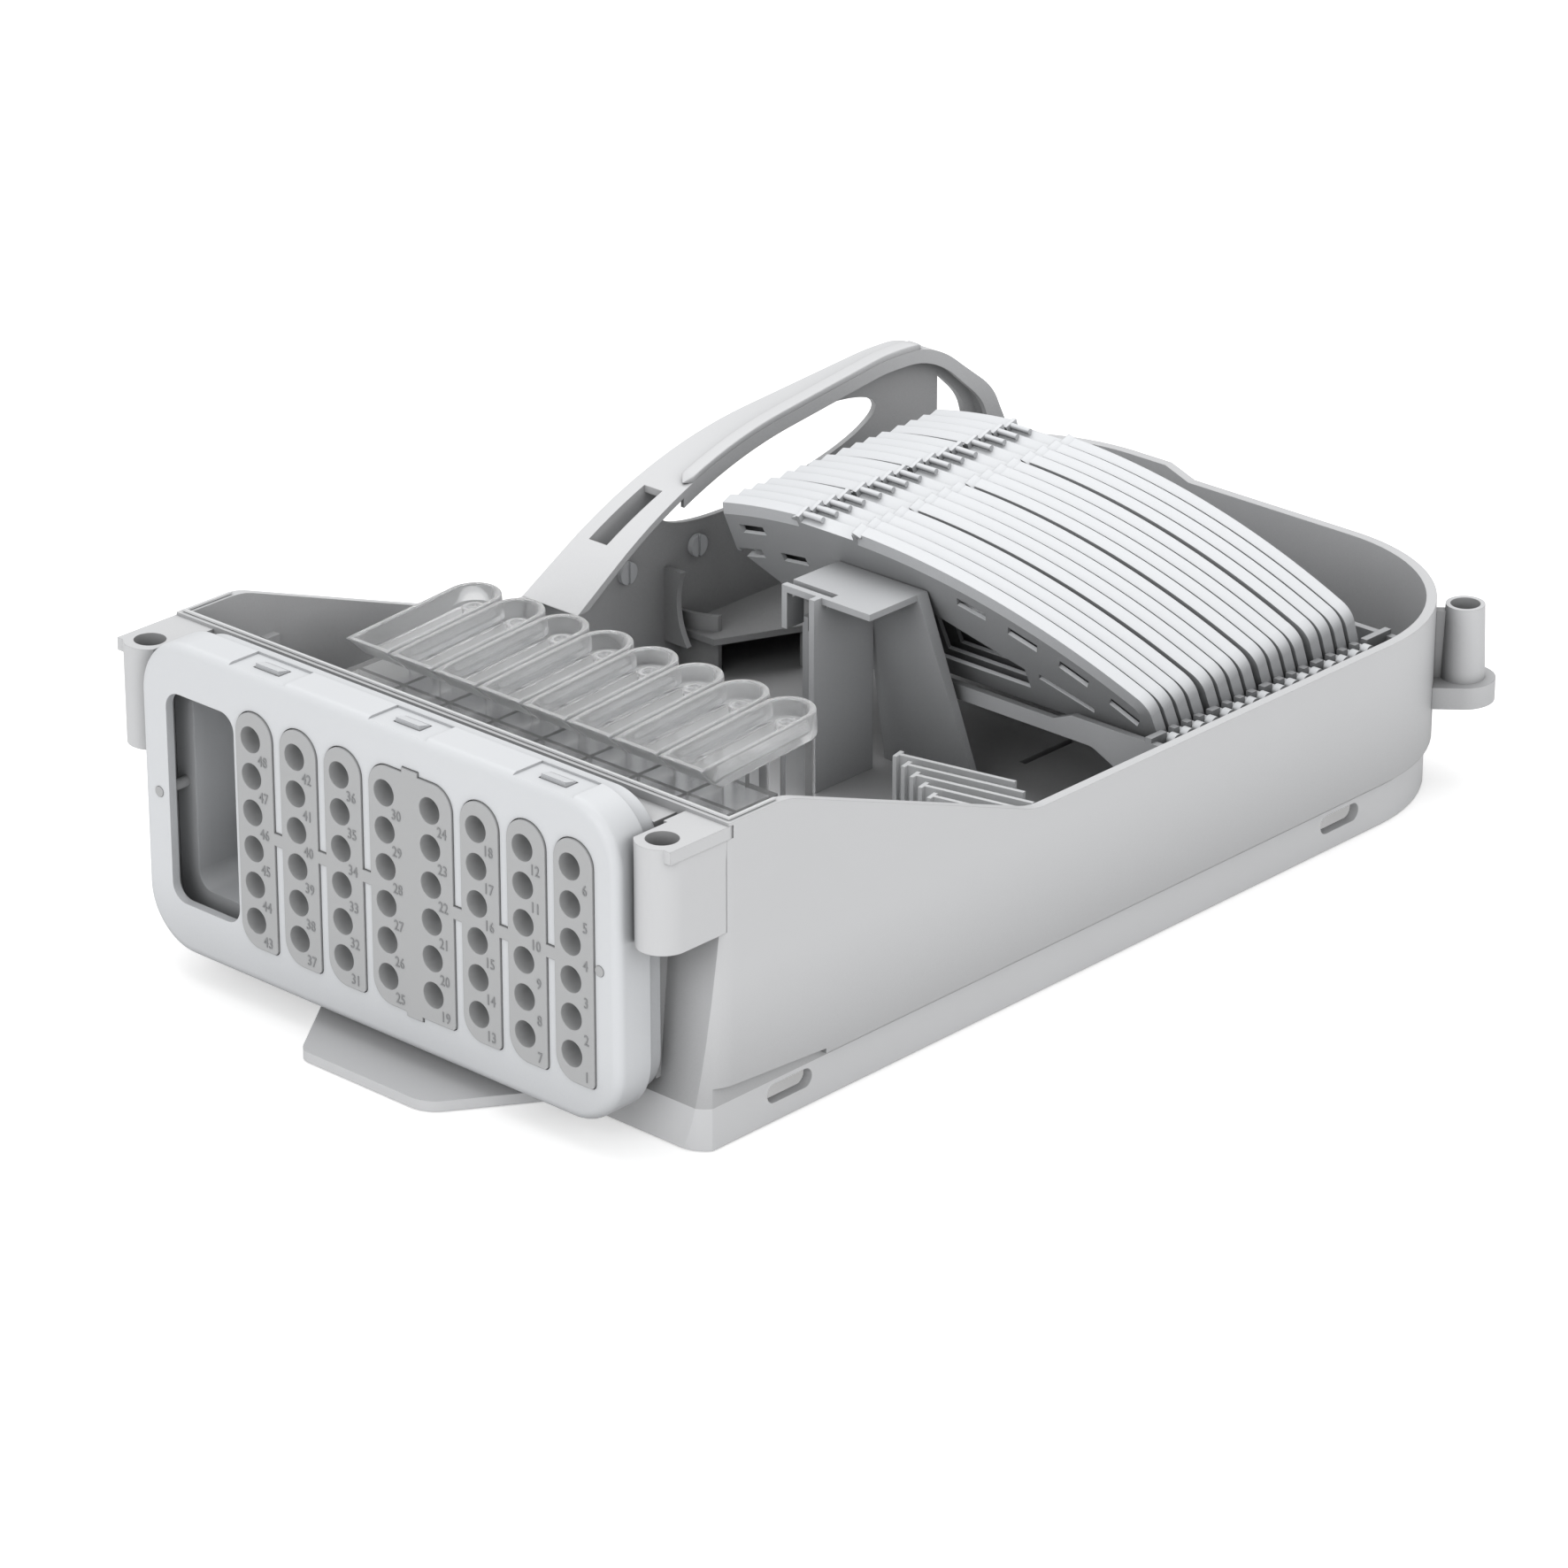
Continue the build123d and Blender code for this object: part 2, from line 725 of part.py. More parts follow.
# Cable cups: clear troughs, all alike
with BuildPart() as cup_shape:
    with BuildSketch() as cup_plan:
        with Locations((cup_width / 2, cup_length / 2)):
            Rectangle(cup_width, cup_length)
        fillet(cup_plan.vertices().group_by(Axis.Y)[-1], cup_width / 2 - cup_wall)
    extrude(amount=cup_height)
    with BuildSketch(Plane.YZ) as nose:
        with BuildLine():
            Polyline(
                (0, cup_height), (cup_nose, 0), (-cup_nose, 0), (-cup_nose, cup_height), close=True
            )
        make_face()
    extrude(amount=2 * cup_width, both=True, mode=Mode.SUBTRACT)
    cup_top = cup_shape.faces().sort_by(Axis.Z)[-1]
    offset(amount=-cup_wall, openings=cup_top)
    with Locations((cup_width / 2, cup_length - cup_width / 2, cup_wall)):
        Cylinder(cup_width / 5, cup_height / 4, align=(Align.CENTER, Align.CENTER, Align.MIN))
        Cylinder(cup_width / 9, cup_height, mode=Mode.SUBTRACT)
for number in range(cup_count):
    cup_left = cup_first_left + number * port_pitch
    cup_place = Location((cup_left, front + cup_front, cup_lift), (cup_tilt, 0, 0))
    with BuildPart() as cup:
        add(cup_shape.part.moved(cup_place))
    save(cup, f"cable_cup_{number + 1}")

# Cup rack: clear block with cells and one post below each cup
cup_low_front = cup_lift + cup_nose * sin(radians(cup_tilt))
cup_low_rear = cup_lift + (post_y - cup_front - post_depth / 2) * tan(radians(cup_tilt))
with BuildPart() as rack:
    with Locations(((rack_left + rack_right) / 2, front + rack_front, floor_top)):
        Box(
            rack_right - rack_left, rack_rear - rack_front, rack_top - floor_top,
            align=(Align.CENTER, Align.MIN, Align.MIN),
        )
    cell_pitch_x = (rack_right - rack_left - 2 * rack_wall + cell_wall) / cup_count
    cell_pitch_y = (rack_rear - rack_front - 2 * rack_wall + cell_wall) / cell_rows
    with Locations(((rack_left + rack_right) / 2, front + (rack_front + rack_rear) / 2, floor_top)):
        with GridLocations(cell_pitch_x, cell_pitch_y, cup_count, cell_rows):
            Box(
                cell_pitch_x - cell_wall, cell_pitch_y - cell_wall, rack_top - rack_wall - floor_top,
                align=(Align.CENTER, Align.CENTER, Align.MIN), mode=Mode.SUBTRACT,
            )
    for number in range(cup_count):
        middle = cup_first_left + number * port_pitch + cup_width / 2
        with Locations((middle, front + rack_rear - 2 * rack_wall, rack_top - rack_wall)):
            Box(
                post_width, rack_wall, cup_low_front - rack_top + rack_wall,
                align=(Align.CENTER, Align.MIN, Align.MIN),
            )
        with Locations((middle, front + post_y, floor_top)):
            Box(
                post_width, post_depth, cup_low_rear - floor_top,
                align=(Align.CENTER, Align.CENTER, Align.MIN),
            )
    with Locations(((rack_left + rack_right) / 2, front + rack_rear - rack_wall, floor_top)):
        Box(
            rack_right - rack_left, post_y - rack_rear + 2 * rack_wall, rack_wall,
            align=(Align.CENTER, Align.MIN, Align.MIN),
        )
save(rack, "cup_rack")

# Splice tray: floor, rim wall, hinge barrel, lifting pin and splice holder, all sixteen alike
with BuildPart() as tray_shape:
    with BuildSketch(Plane.XY.offset(-tray_thickness / 2)) as tray_outline:
        with Locations((top_centre_x, top_centre_w)):
            Circle(top_radius)
        with BuildLine() as tray_edge:
            Polyline(
                (tray_left, top_radius), (tray_left, tray_left_low), (tray_knee_x, tray_knee_w),
                (tray_foot_x, tray_foot_w), (tray_foot_x, tray_bottom), (tray_right, tray_bottom),
                (tray_right, top_radius), close=True,
            )
        make_face(mode=Mode.INTERSECT)
        upper = tray_outline.vertices().filter_by(lambda v: v.Y > tray_foot_w)
        fillet(upper.sort_by(Axis.X)[-1], tray_nose)
        left_corners = upper.filter_by(lambda v: v.X < tray_foot_x)
        fillet(left_corners.sort_by(Axis.Y)[-1], tray_shoulder)
    extrude(amount=tray_thickness)
    front_edges = tray_shape.edges().group_by(Axis.Z)[-1]
    band_edge = front_edges.filter_by(GeomType.CIRCLE).sort_by(SortBy.LENGTH)[-1]
    chamfer(band_edge, band_slope, band_slope_depth)
    offset(amount=-tray_rim, openings=tray_shape.faces().sort_by(Axis.Z)[0])
    recess_left = top_pin_x - top_pin_radius
    recess_floor = top_centre_w + top_radius - recess_depth
    with Locations(((recess_left + recess_right) / 2, recess_floor + recess_depth, 0)):
        Box(
            recess_right - recess_left + 2 * tray_rim, recess_depth + 2 * tray_rim, tray_thickness,
            align=(Align.CENTER, Align.MAX, Align.CENTER),
        )
        Box(
            recess_right - recess_left, recess_depth, 2 * tray_thickness,
            align=(Align.CENTER, Align.MAX, Align.CENTER), mode=Mode.SUBTRACT,
        )
    with Locations(Location((recess_left, recess_floor + top_pin_lift, 0), (0, 90, 0))):
        Cylinder(top_pin_radius, top_pin_length, align=(Align.CENTER, Align.CENTER, Align.MIN))
    with BuildSketch(Plane.XY.offset(tray_thickness / 2 - 2 * tray_floor)) as slots:
        with Locations((top_centre_x, top_centre_w)):
            with PolarLocations(
                slot_row_radius, slot_row_count, slot_row_start, slot_row_turn, endpoint=True
            ):
                Rectangle(slot_width, slot_length)
            with PolarLocations(slot_row_radius, 1, left_slot_angle):
                Rectangle(slot_width, slot_length)
            with PolarLocations(
                left_row_radius, left_row_count, left_row_start, left_row_turn, endpoint=True
            ):
                Rectangle(slot_width, slot_length)
        with Locations(Location((low_slot_x, low_slot_w, 0), (0, 0, low_slot_turn))):
            Rectangle(low_slot_length, low_slot_width)
    extrude(amount=4 * tray_floor, mode=Mode.SUBTRACT)
    with BuildSketch(Plane.XY.offset(tray_thickness / 2 - 2 * tray_floor)) as opening:
        with BuildLine():
            Polyline(
                (opening_left, opening_high), (opening_knee, opening_high),
                (opening_right, opening_mid), (opening_right, opening_low), (opening_left, opening_low),
                close=True,
            )
        make_face()
    extrude(amount=4 * tray_floor, mode=Mode.SUBTRACT)
    for number in range(holder_count):
        with Locations((holder_x, holder_w + number * holder_pitch, holder_z)):
            Box(holder_length, tray_floor, holder_height, align=(Align.CENTER, Align.CENTER, Align.MAX))
    with Locations(Location((left_rail, 0, 0), (0, 90, 0))):
        Cylinder(
            shaft_radius, tray_foot_x + tray_rim - left_rail,
            align=(Align.CENTER, Align.CENTER, Align.MIN),
        )
    with Locations(Location((tray_right - tray_rim, 0, 0), (0, 90, 0))):
        Cylinder(
            shaft_radius, tray_rim + rail_gap + rail_thickness + knob_length,
            align=(Align.CENTER, Align.CENTER, Align.MIN),
        )
    with Locations(Location((right_rail + rail_thickness + shaft_fit, 0, 0), (0, 90, 0))):
        Cylinder(knob_radius, knob_length, align=(Align.CENTER, Align.CENTER, Align.MIN))


def hinge_y(number):
    """Distance of one hinge axis behind the front of the base."""
    group, place = divmod(number, group_size)
    return front + hinge_first + group * group_pitch + place * tray_pitch


for number in range(tray_count):
    lean = radians(tray_lean - number * fan_step)
    leaf = Plane(
        (tray_middle, hinge_y(number), hinge_z), x_dir=(1, 0, 0), z_dir=(0, -cos(lean), -sin(lean))
    )
    with BuildPart() as tray:
        add(tray_shape.part.moved(leaf.location))
    save(tray, f"splice_tray_{number + 1:02d}")

# Tray carrier: two gantries joined by the hinge rails, with one rib beside each hinge
with BuildPart() as carrier:
    for y in (gantry_front, gantry_rear):
        with BuildSketch(Plane.XZ.offset(-(front + y))) as gantry:
            with BuildLine():
                Polyline(
                    (left_rail, floor_top), (left_rail, gantry_high), (gantry_rise, gantry_high),
                    (gantry_rise + gantry_step, gantry_head), (rib_end, gantry_head),
                    (rib_end, floor_top), (arch_foot, floor_top), (arch_side, arch_mid),
                    (arch_start, gantry_low), (left_rail + gantry_leg, gantry_low),
                    (left_rail + gantry_leg, floor_top), close=True,
                )
            make_face()
            fillet(gantry.vertices().filter_by(lambda v: abs(v.X - arch_side) < 1), arch_round)
            fillet(gantry.vertices().filter_by(lambda v: abs(v.X - arch_start) < 1), arch_round)
        extrude(amount=-gantry_thickness)
    rail_length = gantry_rear - gantry_front + gantry_thickness
    for x in (left_rail, right_rail):
        with Locations((x, front + gantry_front, rail_bottom)):
            Box(
                rail_thickness, rail_length, rail_top - rail_bottom,
                align=(Align.MIN, Align.MIN, Align.MIN),
            )
    with Locations((rib_end, front + gantry_front, rib_low)):
        Box(rib_thickness, rail_length, rib_high - rib_low, align=(Align.MAX, Align.MIN, Align.MIN))
    for number in range(tray_count):
        with Locations((right_rail, hinge_y(number), rib_low)):
            Box(
                rib_end - right_rail, rib_thickness, rib_high - rib_low,
                align=(Align.MIN, Align.CENTER, Align.MIN),
            )
    for number in range(tray_count):
        with Locations(
            (left_rail, hinge_y(number), hinge_z - shaft_radius - shaft_fit),
            (right_rail, hinge_y(number), hinge_z - shaft_radius - shaft_fit),
        ):
            Box(
                rail_thickness, 2 * (shaft_radius + shaft_fit), rail_top,
                align=(Align.MIN, Align.CENTER, Align.MIN), mode=Mode.SUBTRACT,
            )
with BuildPart() as placed_carrier:
    add(carrier.part.moved(Location((tray_middle, 0, 0))))
save(placed_carrier, "tray_carrier")

# Tray prop: upright panel, leaning leg and slotted shelf that the first tray rests on
with BuildPart() as prop:
    with Locations((prop_left, front + prop_front, floor_top)):
        Box(
            prop_plate, prop_shelf_rear - prop_front - prop_plate, prop_top - floor_top,
            align=(Align.MIN, Align.MIN, Align.MIN),
        )
    leg_head = prop_shelf_rear - 2 * prop_plate
    leg_side = side_profile(
        (prop_rear, floor_top), (prop_rear + prop_plate, floor_top), (prop_shelf_rear, prop_top),
        (leg_head, prop_top), (leg_head, prop_top - prop_plate),
    )
    extrude(leg_side.sketch.moved(Location((prop_left, 0, 0))), amount=leg_foot_right - prop_left)
    with BuildSketch(Plane.XZ.offset(-(front + prop_front - prop_plate))) as leg_trim:
        with BuildLine():
            Polyline(
                (leg_head_right, prop_top + cut_margin), (leg_foot_right, floor_top),
                (leg_foot_right, floor_top - cut_margin),
                (leg_foot_right + prop_top, floor_top - cut_margin),
                (leg_foot_right + prop_top, prop_top + cut_margin), close=True,
            )
        make_face()
    extrude(amount=-2 * prop_top, mode=Mode.SUBTRACT)
    with Locations((prop_shelf_left, front + prop_shelf_front, prop_top)):
        Box(
            leg_head_right - prop_shelf_left, prop_shelf_rear - prop_shelf_front, prop_plate,
            align=(Align.MIN, Align.MIN, Align.MAX),
        )
        Box(prop_plate, hook_width, hook_drop, align=(Align.MIN, Align.MIN, Align.MAX))
    slot_x = (prop_shelf_left + prop_left) / 2 + prop_plate
    with Locations((slot_x, front + prop_shelf_front + hook_width / 2, prop_top)):
        Box(shelf_slot_length, shelf_slot_width, 4 * prop_plate, mode=Mode.SUBTRACT)
save(prop, "tray_prop")

# Fibre comb: staggered plates with cross bars on a common foot
with BuildPart() as comb:
    for number in range(comb_count):
        plate_x = comb_first_x + number * comb_step_x
        plate_y = front + comb_first_y + number * comb_step_y
        with Locations(Location((plate_x, plate_y, floor_top), (0, 0, comb_turn))):
            Box(
                comb_length, comb_plate, comb_top - floor_top,
                align=(Align.MIN, Align.CENTER, Align.MIN),
            )
            Box(
                comb_plate, comb_bar, comb_top - floor_top,
                align=(Align.MIN, Align.CENTER, Align.MIN),
            )
            Box(comb_length, comb_foot, comb_plate, align=(Align.MIN, Align.CENTER, Align.MIN))
save(comb, "fibre_comb")


def guard_arch(drop):
    """Side view of the guard, lowered by a distance."""
    with BuildSketch(Plane.YZ) as arch:
        with BuildLine():
            Polyline(
                (front + guard_start + drop, guard_bottom),
                (front + guard_start + drop, rim_low - drop),
                (front + guard_shoulder_y, guard_shoulder_z - drop),
                (front + guard_crest_y, guard_crest_z - drop),
                (front + guard_heel_y - drop / 2, guard_heel_z - drop),
                (front + guard_end - drop, rim_low),
                (front + guard_end - drop, guard_bottom), close=True,
            )
        make_face()
        shoulder = arch.vertices().filter_by(lambda v: abs(v.X - front - guard_shoulder_y) < 1)
        fillet(shoulder, guard_shoulder_round)
        crest = arch.vertices().filter_by(lambda v: abs(v.X - front - guard_crest_y) < 1)
        fillet(crest, guard_crest_round)
        heel = arch.vertices().filter_by(lambda v: abs(v.X - front - guard_heel_y + drop / 2) < 1)
        fillet(heel.filter_by(lambda v: abs(v.Y - guard_heel_z + drop) < 1), guard_heel_round)
    return arch.sketch


def guard_solid(drop):
    """Guard outline extruded over the left part of the housing."""
    with BuildPart() as solid:
        extrude(guard_arch(drop).moved(Location((-base_width, 0, 0))), amount=base_width)
    return solid.part


def band_inside(shift):
    """Room inside the band of the guard; a shift moves its edge outward."""
    with BuildPart() as room:
        add(tub_block(-wall, 3 * rim_high, band_rear_width - shift))
        with BuildSketch(Plane.XY.offset(-wall)) as edge:
            with BuildLine():
                Polyline(
                    (band_start_width - shift - base_width / 2, front - reach),
                    (band_start_width - shift - base_width / 2, front + guard_start),
                    (band_rear_width - shift - base_width / 2, front + guard_start + band_length),
                    (band_rear_width - shift - base_width / 2, rear + reach),
                    (reach, rear + reach), (reach, front - reach), close=True,
                )
            make_face()
        extrude(amount=4 * rim_high, mode=Mode.INTERSECT)
    return room.part


# Side guard: panel against the left wall with an arched band above the rim
with BuildPart() as guard:
    add(tub_block(rim_low, guard_crest_z + wall, 0))
    add(band_inside(0), mode=Mode.SUBTRACT)
    add(guard_solid(0), mode=Mode.INTERSECT)
    add(guard_solid(guard_thickness), mode=Mode.SUBTRACT)
    with BuildPart(mode=Mode.PRIVATE) as lip:
        add(band_inside(lip_thickness))
        add(band_inside(0), mode=Mode.SUBTRACT)
        add(tub_block(0, 2 * rim_high, 0), mode=Mode.INTERSECT)
        add(guard_solid(0), mode=Mode.INTERSECT)
        add(guard_solid(lip_depth), mode=Mode.SUBTRACT)
        with Locations((0, front + guard_start + lip_start, 0)):
            Box(
                2 * reach, 2 * reach, 4 * rim_high, align=(Align.CENTER, Align.MAX, Align.CENTER),
                mode=Mode.SUBTRACT,
            )
        with Locations((0, 0, rim_low)):
            Box(
                2 * reach, 4 * reach, 2 * rim_high, align=(Align.CENTER, Align.CENTER, Align.MAX),
                mode=Mode.SUBTRACT,
            )
    add(lip.part)
    with Locations((-base_width / 2 + band_slot_edge, front + guard_start + band_slot_start, rim_high)):
        Box(
            band_slot_width, band_slot_length, 2 * (rim_high - rim_low),
            align=(Align.MIN, Align.MIN, Align.CENTER), mode=Mode.SUBTRACT,
        )
    with BuildPart(mode=Mode.PRIVATE) as panel:
        add(tub_block(guard_bottom, guard_crest_z, wall + guard_gap))
        add(tub_block(0, 2 * rim_high, wall + guard_gap + guard_thickness), mode=Mode.SUBTRACT)
        add(guard_solid(0), mode=Mode.INTERSECT)
    add(panel.part)
    with BuildPart(mode=Mode.PRIVATE) as bench:
        with BuildSketch(Plane.XY.offset(bench_top - bench_plate)) as bench_plan:
            with BuildLine():
                Polyline(
                    (-base_width / 2, front + bench_front), (guide_right + wall, front + bench_front),
                    (bench_right, front + bench_turn), (bench_right, rear), (-base_width / 2, rear),
                    close=True,
                )
            make_face()
        extrude(amount=bench_plate)
        with Locations(
            (bench_right, front + bench_turn, floor_top),
            (bench_right, rear - rear_corner / 2, floor_top),
        ):
            Box(
                bench_plate, bench_plate, bench_top - floor_top,
                align=(Align.MAX, Align.MIN, Align.MIN),
            )
        with BuildSketch(Plane.XY.offset(guide_low)) as guide:
            with BuildLine():
                Spline(
                    (-base_width / 2, front + guide_front),
                    (guide_right - 2 * wall, front + guide_front),
                    (guide_right, front + guide_rear),
                )
                Line(
                    (guide_right, front + guide_rear),
                    (guide_right, front + guide_rear + guide_thickness),
                )
                Spline(
                    (guide_right, front + guide_rear + guide_thickness),
                    (guide_right - 2 * wall, front + guide_front + guide_thickness),
                    (-base_width / 2, front + guide_front + guide_thickness),
                )
                Line(
                    (-base_width / 2, front + guide_front + guide_thickness),
                    (-base_width / 2, front + guide_front),
                )
            make_face()
        extrude(amount=guide_high - guide_low)
        with BuildSketch(Plane.XZ.offset(-(front + blade_y))) as blade:
            with BuildLine():
                Line((-base_width / 2, blade_low), (-base_width / 2, blade_high))
                Line((-base_width / 2, blade_high), (blade_right - blade_thickness, blade_high))
                ThreePointArc(
                    (blade_right - blade_thickness, blade_high),
                    (blade_right - 2 * blade_thickness, (blade_low + blade_high) / 2),
                    (blade_right, blade_low),
                )
                Line((blade_right, blade_low), (-base_width / 2, blade_low))
            make_face()
        extrude(amount=blade_thickness)
        add(tub_block(0, rim_high, wall + guard_gap), mode=Mode.INTERSECT)
    add(bench.part)
    with BuildPart(mode=Mode.PRIVATE) as rear_window:
        add(guard_solid(strap_drop))
        with Locations((-base_width / 2, front + guard_start + rear_window_start, rear_window_low)):
            Box(
                rear_window_depth, reach, reach, align=(Align.MIN, Align.MIN, Align.MIN),
                mode=Mode.INTERSECT,
            )
    add(rear_window.part, mode=Mode.SUBTRACT)
    with BuildSketch(Plane.YZ.offset(-base_width / 2)) as oval:
        with Locations(Location((front + oval_y, oval_z, 0), (0, 0, oval_turn))):
            Ellipse(oval_length / 2, oval_height / 2)
    extrude(amount=2 * wall, mode=Mode.SUBTRACT)
    with BuildSketch(Plane.YZ.offset(-base_width / 2)) as low_window:
        with Locations((front + guard_start + low_window_run, rim_low)):
            Ellipse(low_window_length / 2, low_window_height / 2)
    extrude(amount=4 * wall, mode=Mode.SUBTRACT)
    for y in (fastener_first, fastener_second):
        with Locations(Location((-base_width / 2, front + y, fastener_z), (0, 90, 0))):
            Cylinder(fastener_radius / 2 + shaft_fit, 8 * wall, mode=Mode.SUBTRACT)
save(guard, "side_guard")

# Guard fasteners: slotted heads that turn by a quarter
guard_face = -base_width / 2 + wall + guard_gap + guard_thickness
for y, label in ((fastener_first, "guard_fastener_front"), (fastener_second, "guard_fastener_rear")):
    with BuildPart() as fastener:
        with Locations(Location((guard_face, front + y, fastener_z), (0, 90, 0))):
            Cylinder(
                fastener_radius, fastener_head_height, align=(Align.CENTER, Align.CENTER, Align.MIN)
            )
            Cylinder(
                fastener_radius / 2, wall + guard_gap + guard_thickness,
                align=(Align.CENTER, Align.CENTER, Align.MAX),
            )
        with Locations((guard_face + fastener_head_height, front + y, fastener_z)):
            Box(fastener_head_height, fastener_radius / 3, 4 * fastener_radius, mode=Mode.SUBTRACT)
    save(fastener, label)
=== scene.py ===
"""Looks of an open fibre splice enclosure, laid out as a Blender add-on."""

import math

import bpy
import numpy as np
from bpy.props import FloatProperty, FloatVectorProperty, IntProperty, PointerProperty
from mathutils import Matrix, Vector


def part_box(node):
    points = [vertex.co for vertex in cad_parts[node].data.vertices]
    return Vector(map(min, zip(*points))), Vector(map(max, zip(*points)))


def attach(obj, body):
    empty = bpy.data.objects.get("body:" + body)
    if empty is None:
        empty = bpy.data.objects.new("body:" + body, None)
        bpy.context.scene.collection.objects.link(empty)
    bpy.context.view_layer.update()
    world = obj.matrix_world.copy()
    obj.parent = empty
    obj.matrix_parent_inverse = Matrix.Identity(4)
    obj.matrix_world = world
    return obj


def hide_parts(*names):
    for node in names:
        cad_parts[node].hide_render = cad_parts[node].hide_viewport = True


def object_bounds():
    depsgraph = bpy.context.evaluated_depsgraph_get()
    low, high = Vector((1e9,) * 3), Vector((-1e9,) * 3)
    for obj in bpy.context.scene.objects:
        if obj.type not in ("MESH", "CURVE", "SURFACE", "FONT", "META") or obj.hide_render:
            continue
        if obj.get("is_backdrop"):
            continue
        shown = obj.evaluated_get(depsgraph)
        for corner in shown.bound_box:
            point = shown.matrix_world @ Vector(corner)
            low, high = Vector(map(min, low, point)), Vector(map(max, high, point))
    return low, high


bl_info = {
    "name": "Fibre splice enclosure",
    "version": (1, 0, 0),
    "blender": (4, 5, 0),
    "location": "3D Viewport > Sidebar > Splice",
    "description": "Finishes, port numbers, clear cells and studio for a splice enclosure",
    "category": "Object",
}

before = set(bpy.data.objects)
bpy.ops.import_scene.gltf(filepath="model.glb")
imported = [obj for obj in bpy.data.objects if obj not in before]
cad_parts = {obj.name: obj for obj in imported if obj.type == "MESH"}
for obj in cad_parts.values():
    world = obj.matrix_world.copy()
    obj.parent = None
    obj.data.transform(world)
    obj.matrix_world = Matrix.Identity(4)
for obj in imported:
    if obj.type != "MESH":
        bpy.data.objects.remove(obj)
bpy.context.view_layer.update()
ROOT = "base"

# Points or steps in the grids of the added pieces.
HOOK_POINTS = 7
RIDGE_RINGS = 48
RIDGE_POINTS = 24
CUP_SIDE_STEPS = 8
CUP_ROUND_STEPS = 24
CUP_LIP_POINTS = 9
CUP_FOOT_POINTS = 5
CUP_BOSS_POINTS = 32
FLOOR_POINTS = 9

# Proportions of the added pieces.
LATCH_SUNK = 2.5  # foot of a wedge below the block's top, in latch rises
LATCH_OUTLINE = ((0.0, 0.0), (0.0, 3.0), (1.0, 2.2), (1.0, 0.0))  # in latch lengths and rises
HOOK_OUTER = 1.8  # reach of a hook's outer flank, in hook sizes
HOOK_INNER = 0.6  # reach of its inner flank, in hook sizes
HOOK_SUNK = 0.4  # foot of a hook below the tray's top, in hook sizes
CREST_BEND = 2.8  # fall of a tray's top, per metre squared from its crest
RIDGE_SQUARENESS = 0.35  # power that squares the ridge's round profile; 1 leaves it round
RIDGE_END = 0.05  # size of the ridge's end rings, as a share of the others
RIDGE_LIFT = 0.6  # middle of the ridge above the band, in half heights
RING_LEAST = 0.00002  # radius of a cup's closing rings, in metres
DIGIT_FONT = 1.4  # font size over the height of a digit
DIGIT_WIDTH = 0.85  # digits are narrowed to this share

# Painted shade by facing: faces that lean down are painted darker, and faces that look up are
# spared the painted shade of hollows, between these values of the upward part of their normal.
UNDERSIDE_SHADE_FADE = (-0.35, -0.05)
TOP_SHADE_FADE = (0.3, 0.6)

# Studio, in metres and degrees: each lamp has a name, a place, a point that it faces, a size
# and the setting that holds its power.
LAMPS = (
    ("lamp_top", (-0.35, 0.35, 1.5), (0, 0, 0.03), (1.8, 1.8), "top_watts"),
    ("lamp_front", (0.2, -1.9, 1.0), (0, 0, 0.05), (1.6, 1.2), "front_watts"),
    ("lamp_right", (2.0, -0.4, 0.9), (0, 0, 0.05), (1.6, 1.2), "side_watts"),
)
FLOOR_DROP = 0.0004
CAMERA_PLACE = (1.14931, -1.25998, 0.78362)
CAMERA_TURN = (65.9712, 0.0, 42.7145)
CAMERA_SENSOR = 36.0
CAMERA_REACH = 50.0


def shade(name, text, colour):
    """A colour setting with its name and description."""
    return FloatVectorProperty(
        name=name, description=text, default=colour, size=3, min=0.0, max=1.0, subtype="COLOR"
    )


def amount(name, text, value, **limits):
    """A number setting, with its unit and limits."""
    return FloatProperty(name=name, description=text, default=value, **limits)


def length(name, text, size):
    """A size setting in metres."""
    return amount(name, text, size, min=0.0, subtype="DISTANCE", unit="LENGTH")


def count(name, text, value):
    """A setting that counts things."""
    return IntProperty(name=name, description=text, default=value, min=1)


class SpliceShades(bpy.types.PropertyGroup):
    """Colours of the plastics, as a user may want them."""

    housing: shade("Housing", "Light grey moulded base", (0.615, 0.62, 0.63))
    block: shade("Cable block", "Near white plates of the cable block", (0.685, 0.70, 0.72))
    tray: shade("Trays", "White splice trays", (0.74, 0.755, 0.775))
    inner: shade("Inner parts", "Grey prop and tray carrier", (0.57, 0.58, 0.595))
    comb: shade("Comb", "Pale fibre comb", (0.74, 0.75, 0.76))
    seal: shade("Seal", "Soft grey port seal", (0.45, 0.455, 0.46))
    # The numbers are of the seal's own material; this darker grey is painted shade round their
    # relief.
    mark: shade("Numbers", "Raised port numbers", (0.27, 0.275, 0.28))
    clear: shade("Clear parts", "Tint of the clear cups and rack", (0.95, 0.955, 0.96))
    floor: shade("Floor", "Pale studio floor", (0.85, 0.85, 0.85))


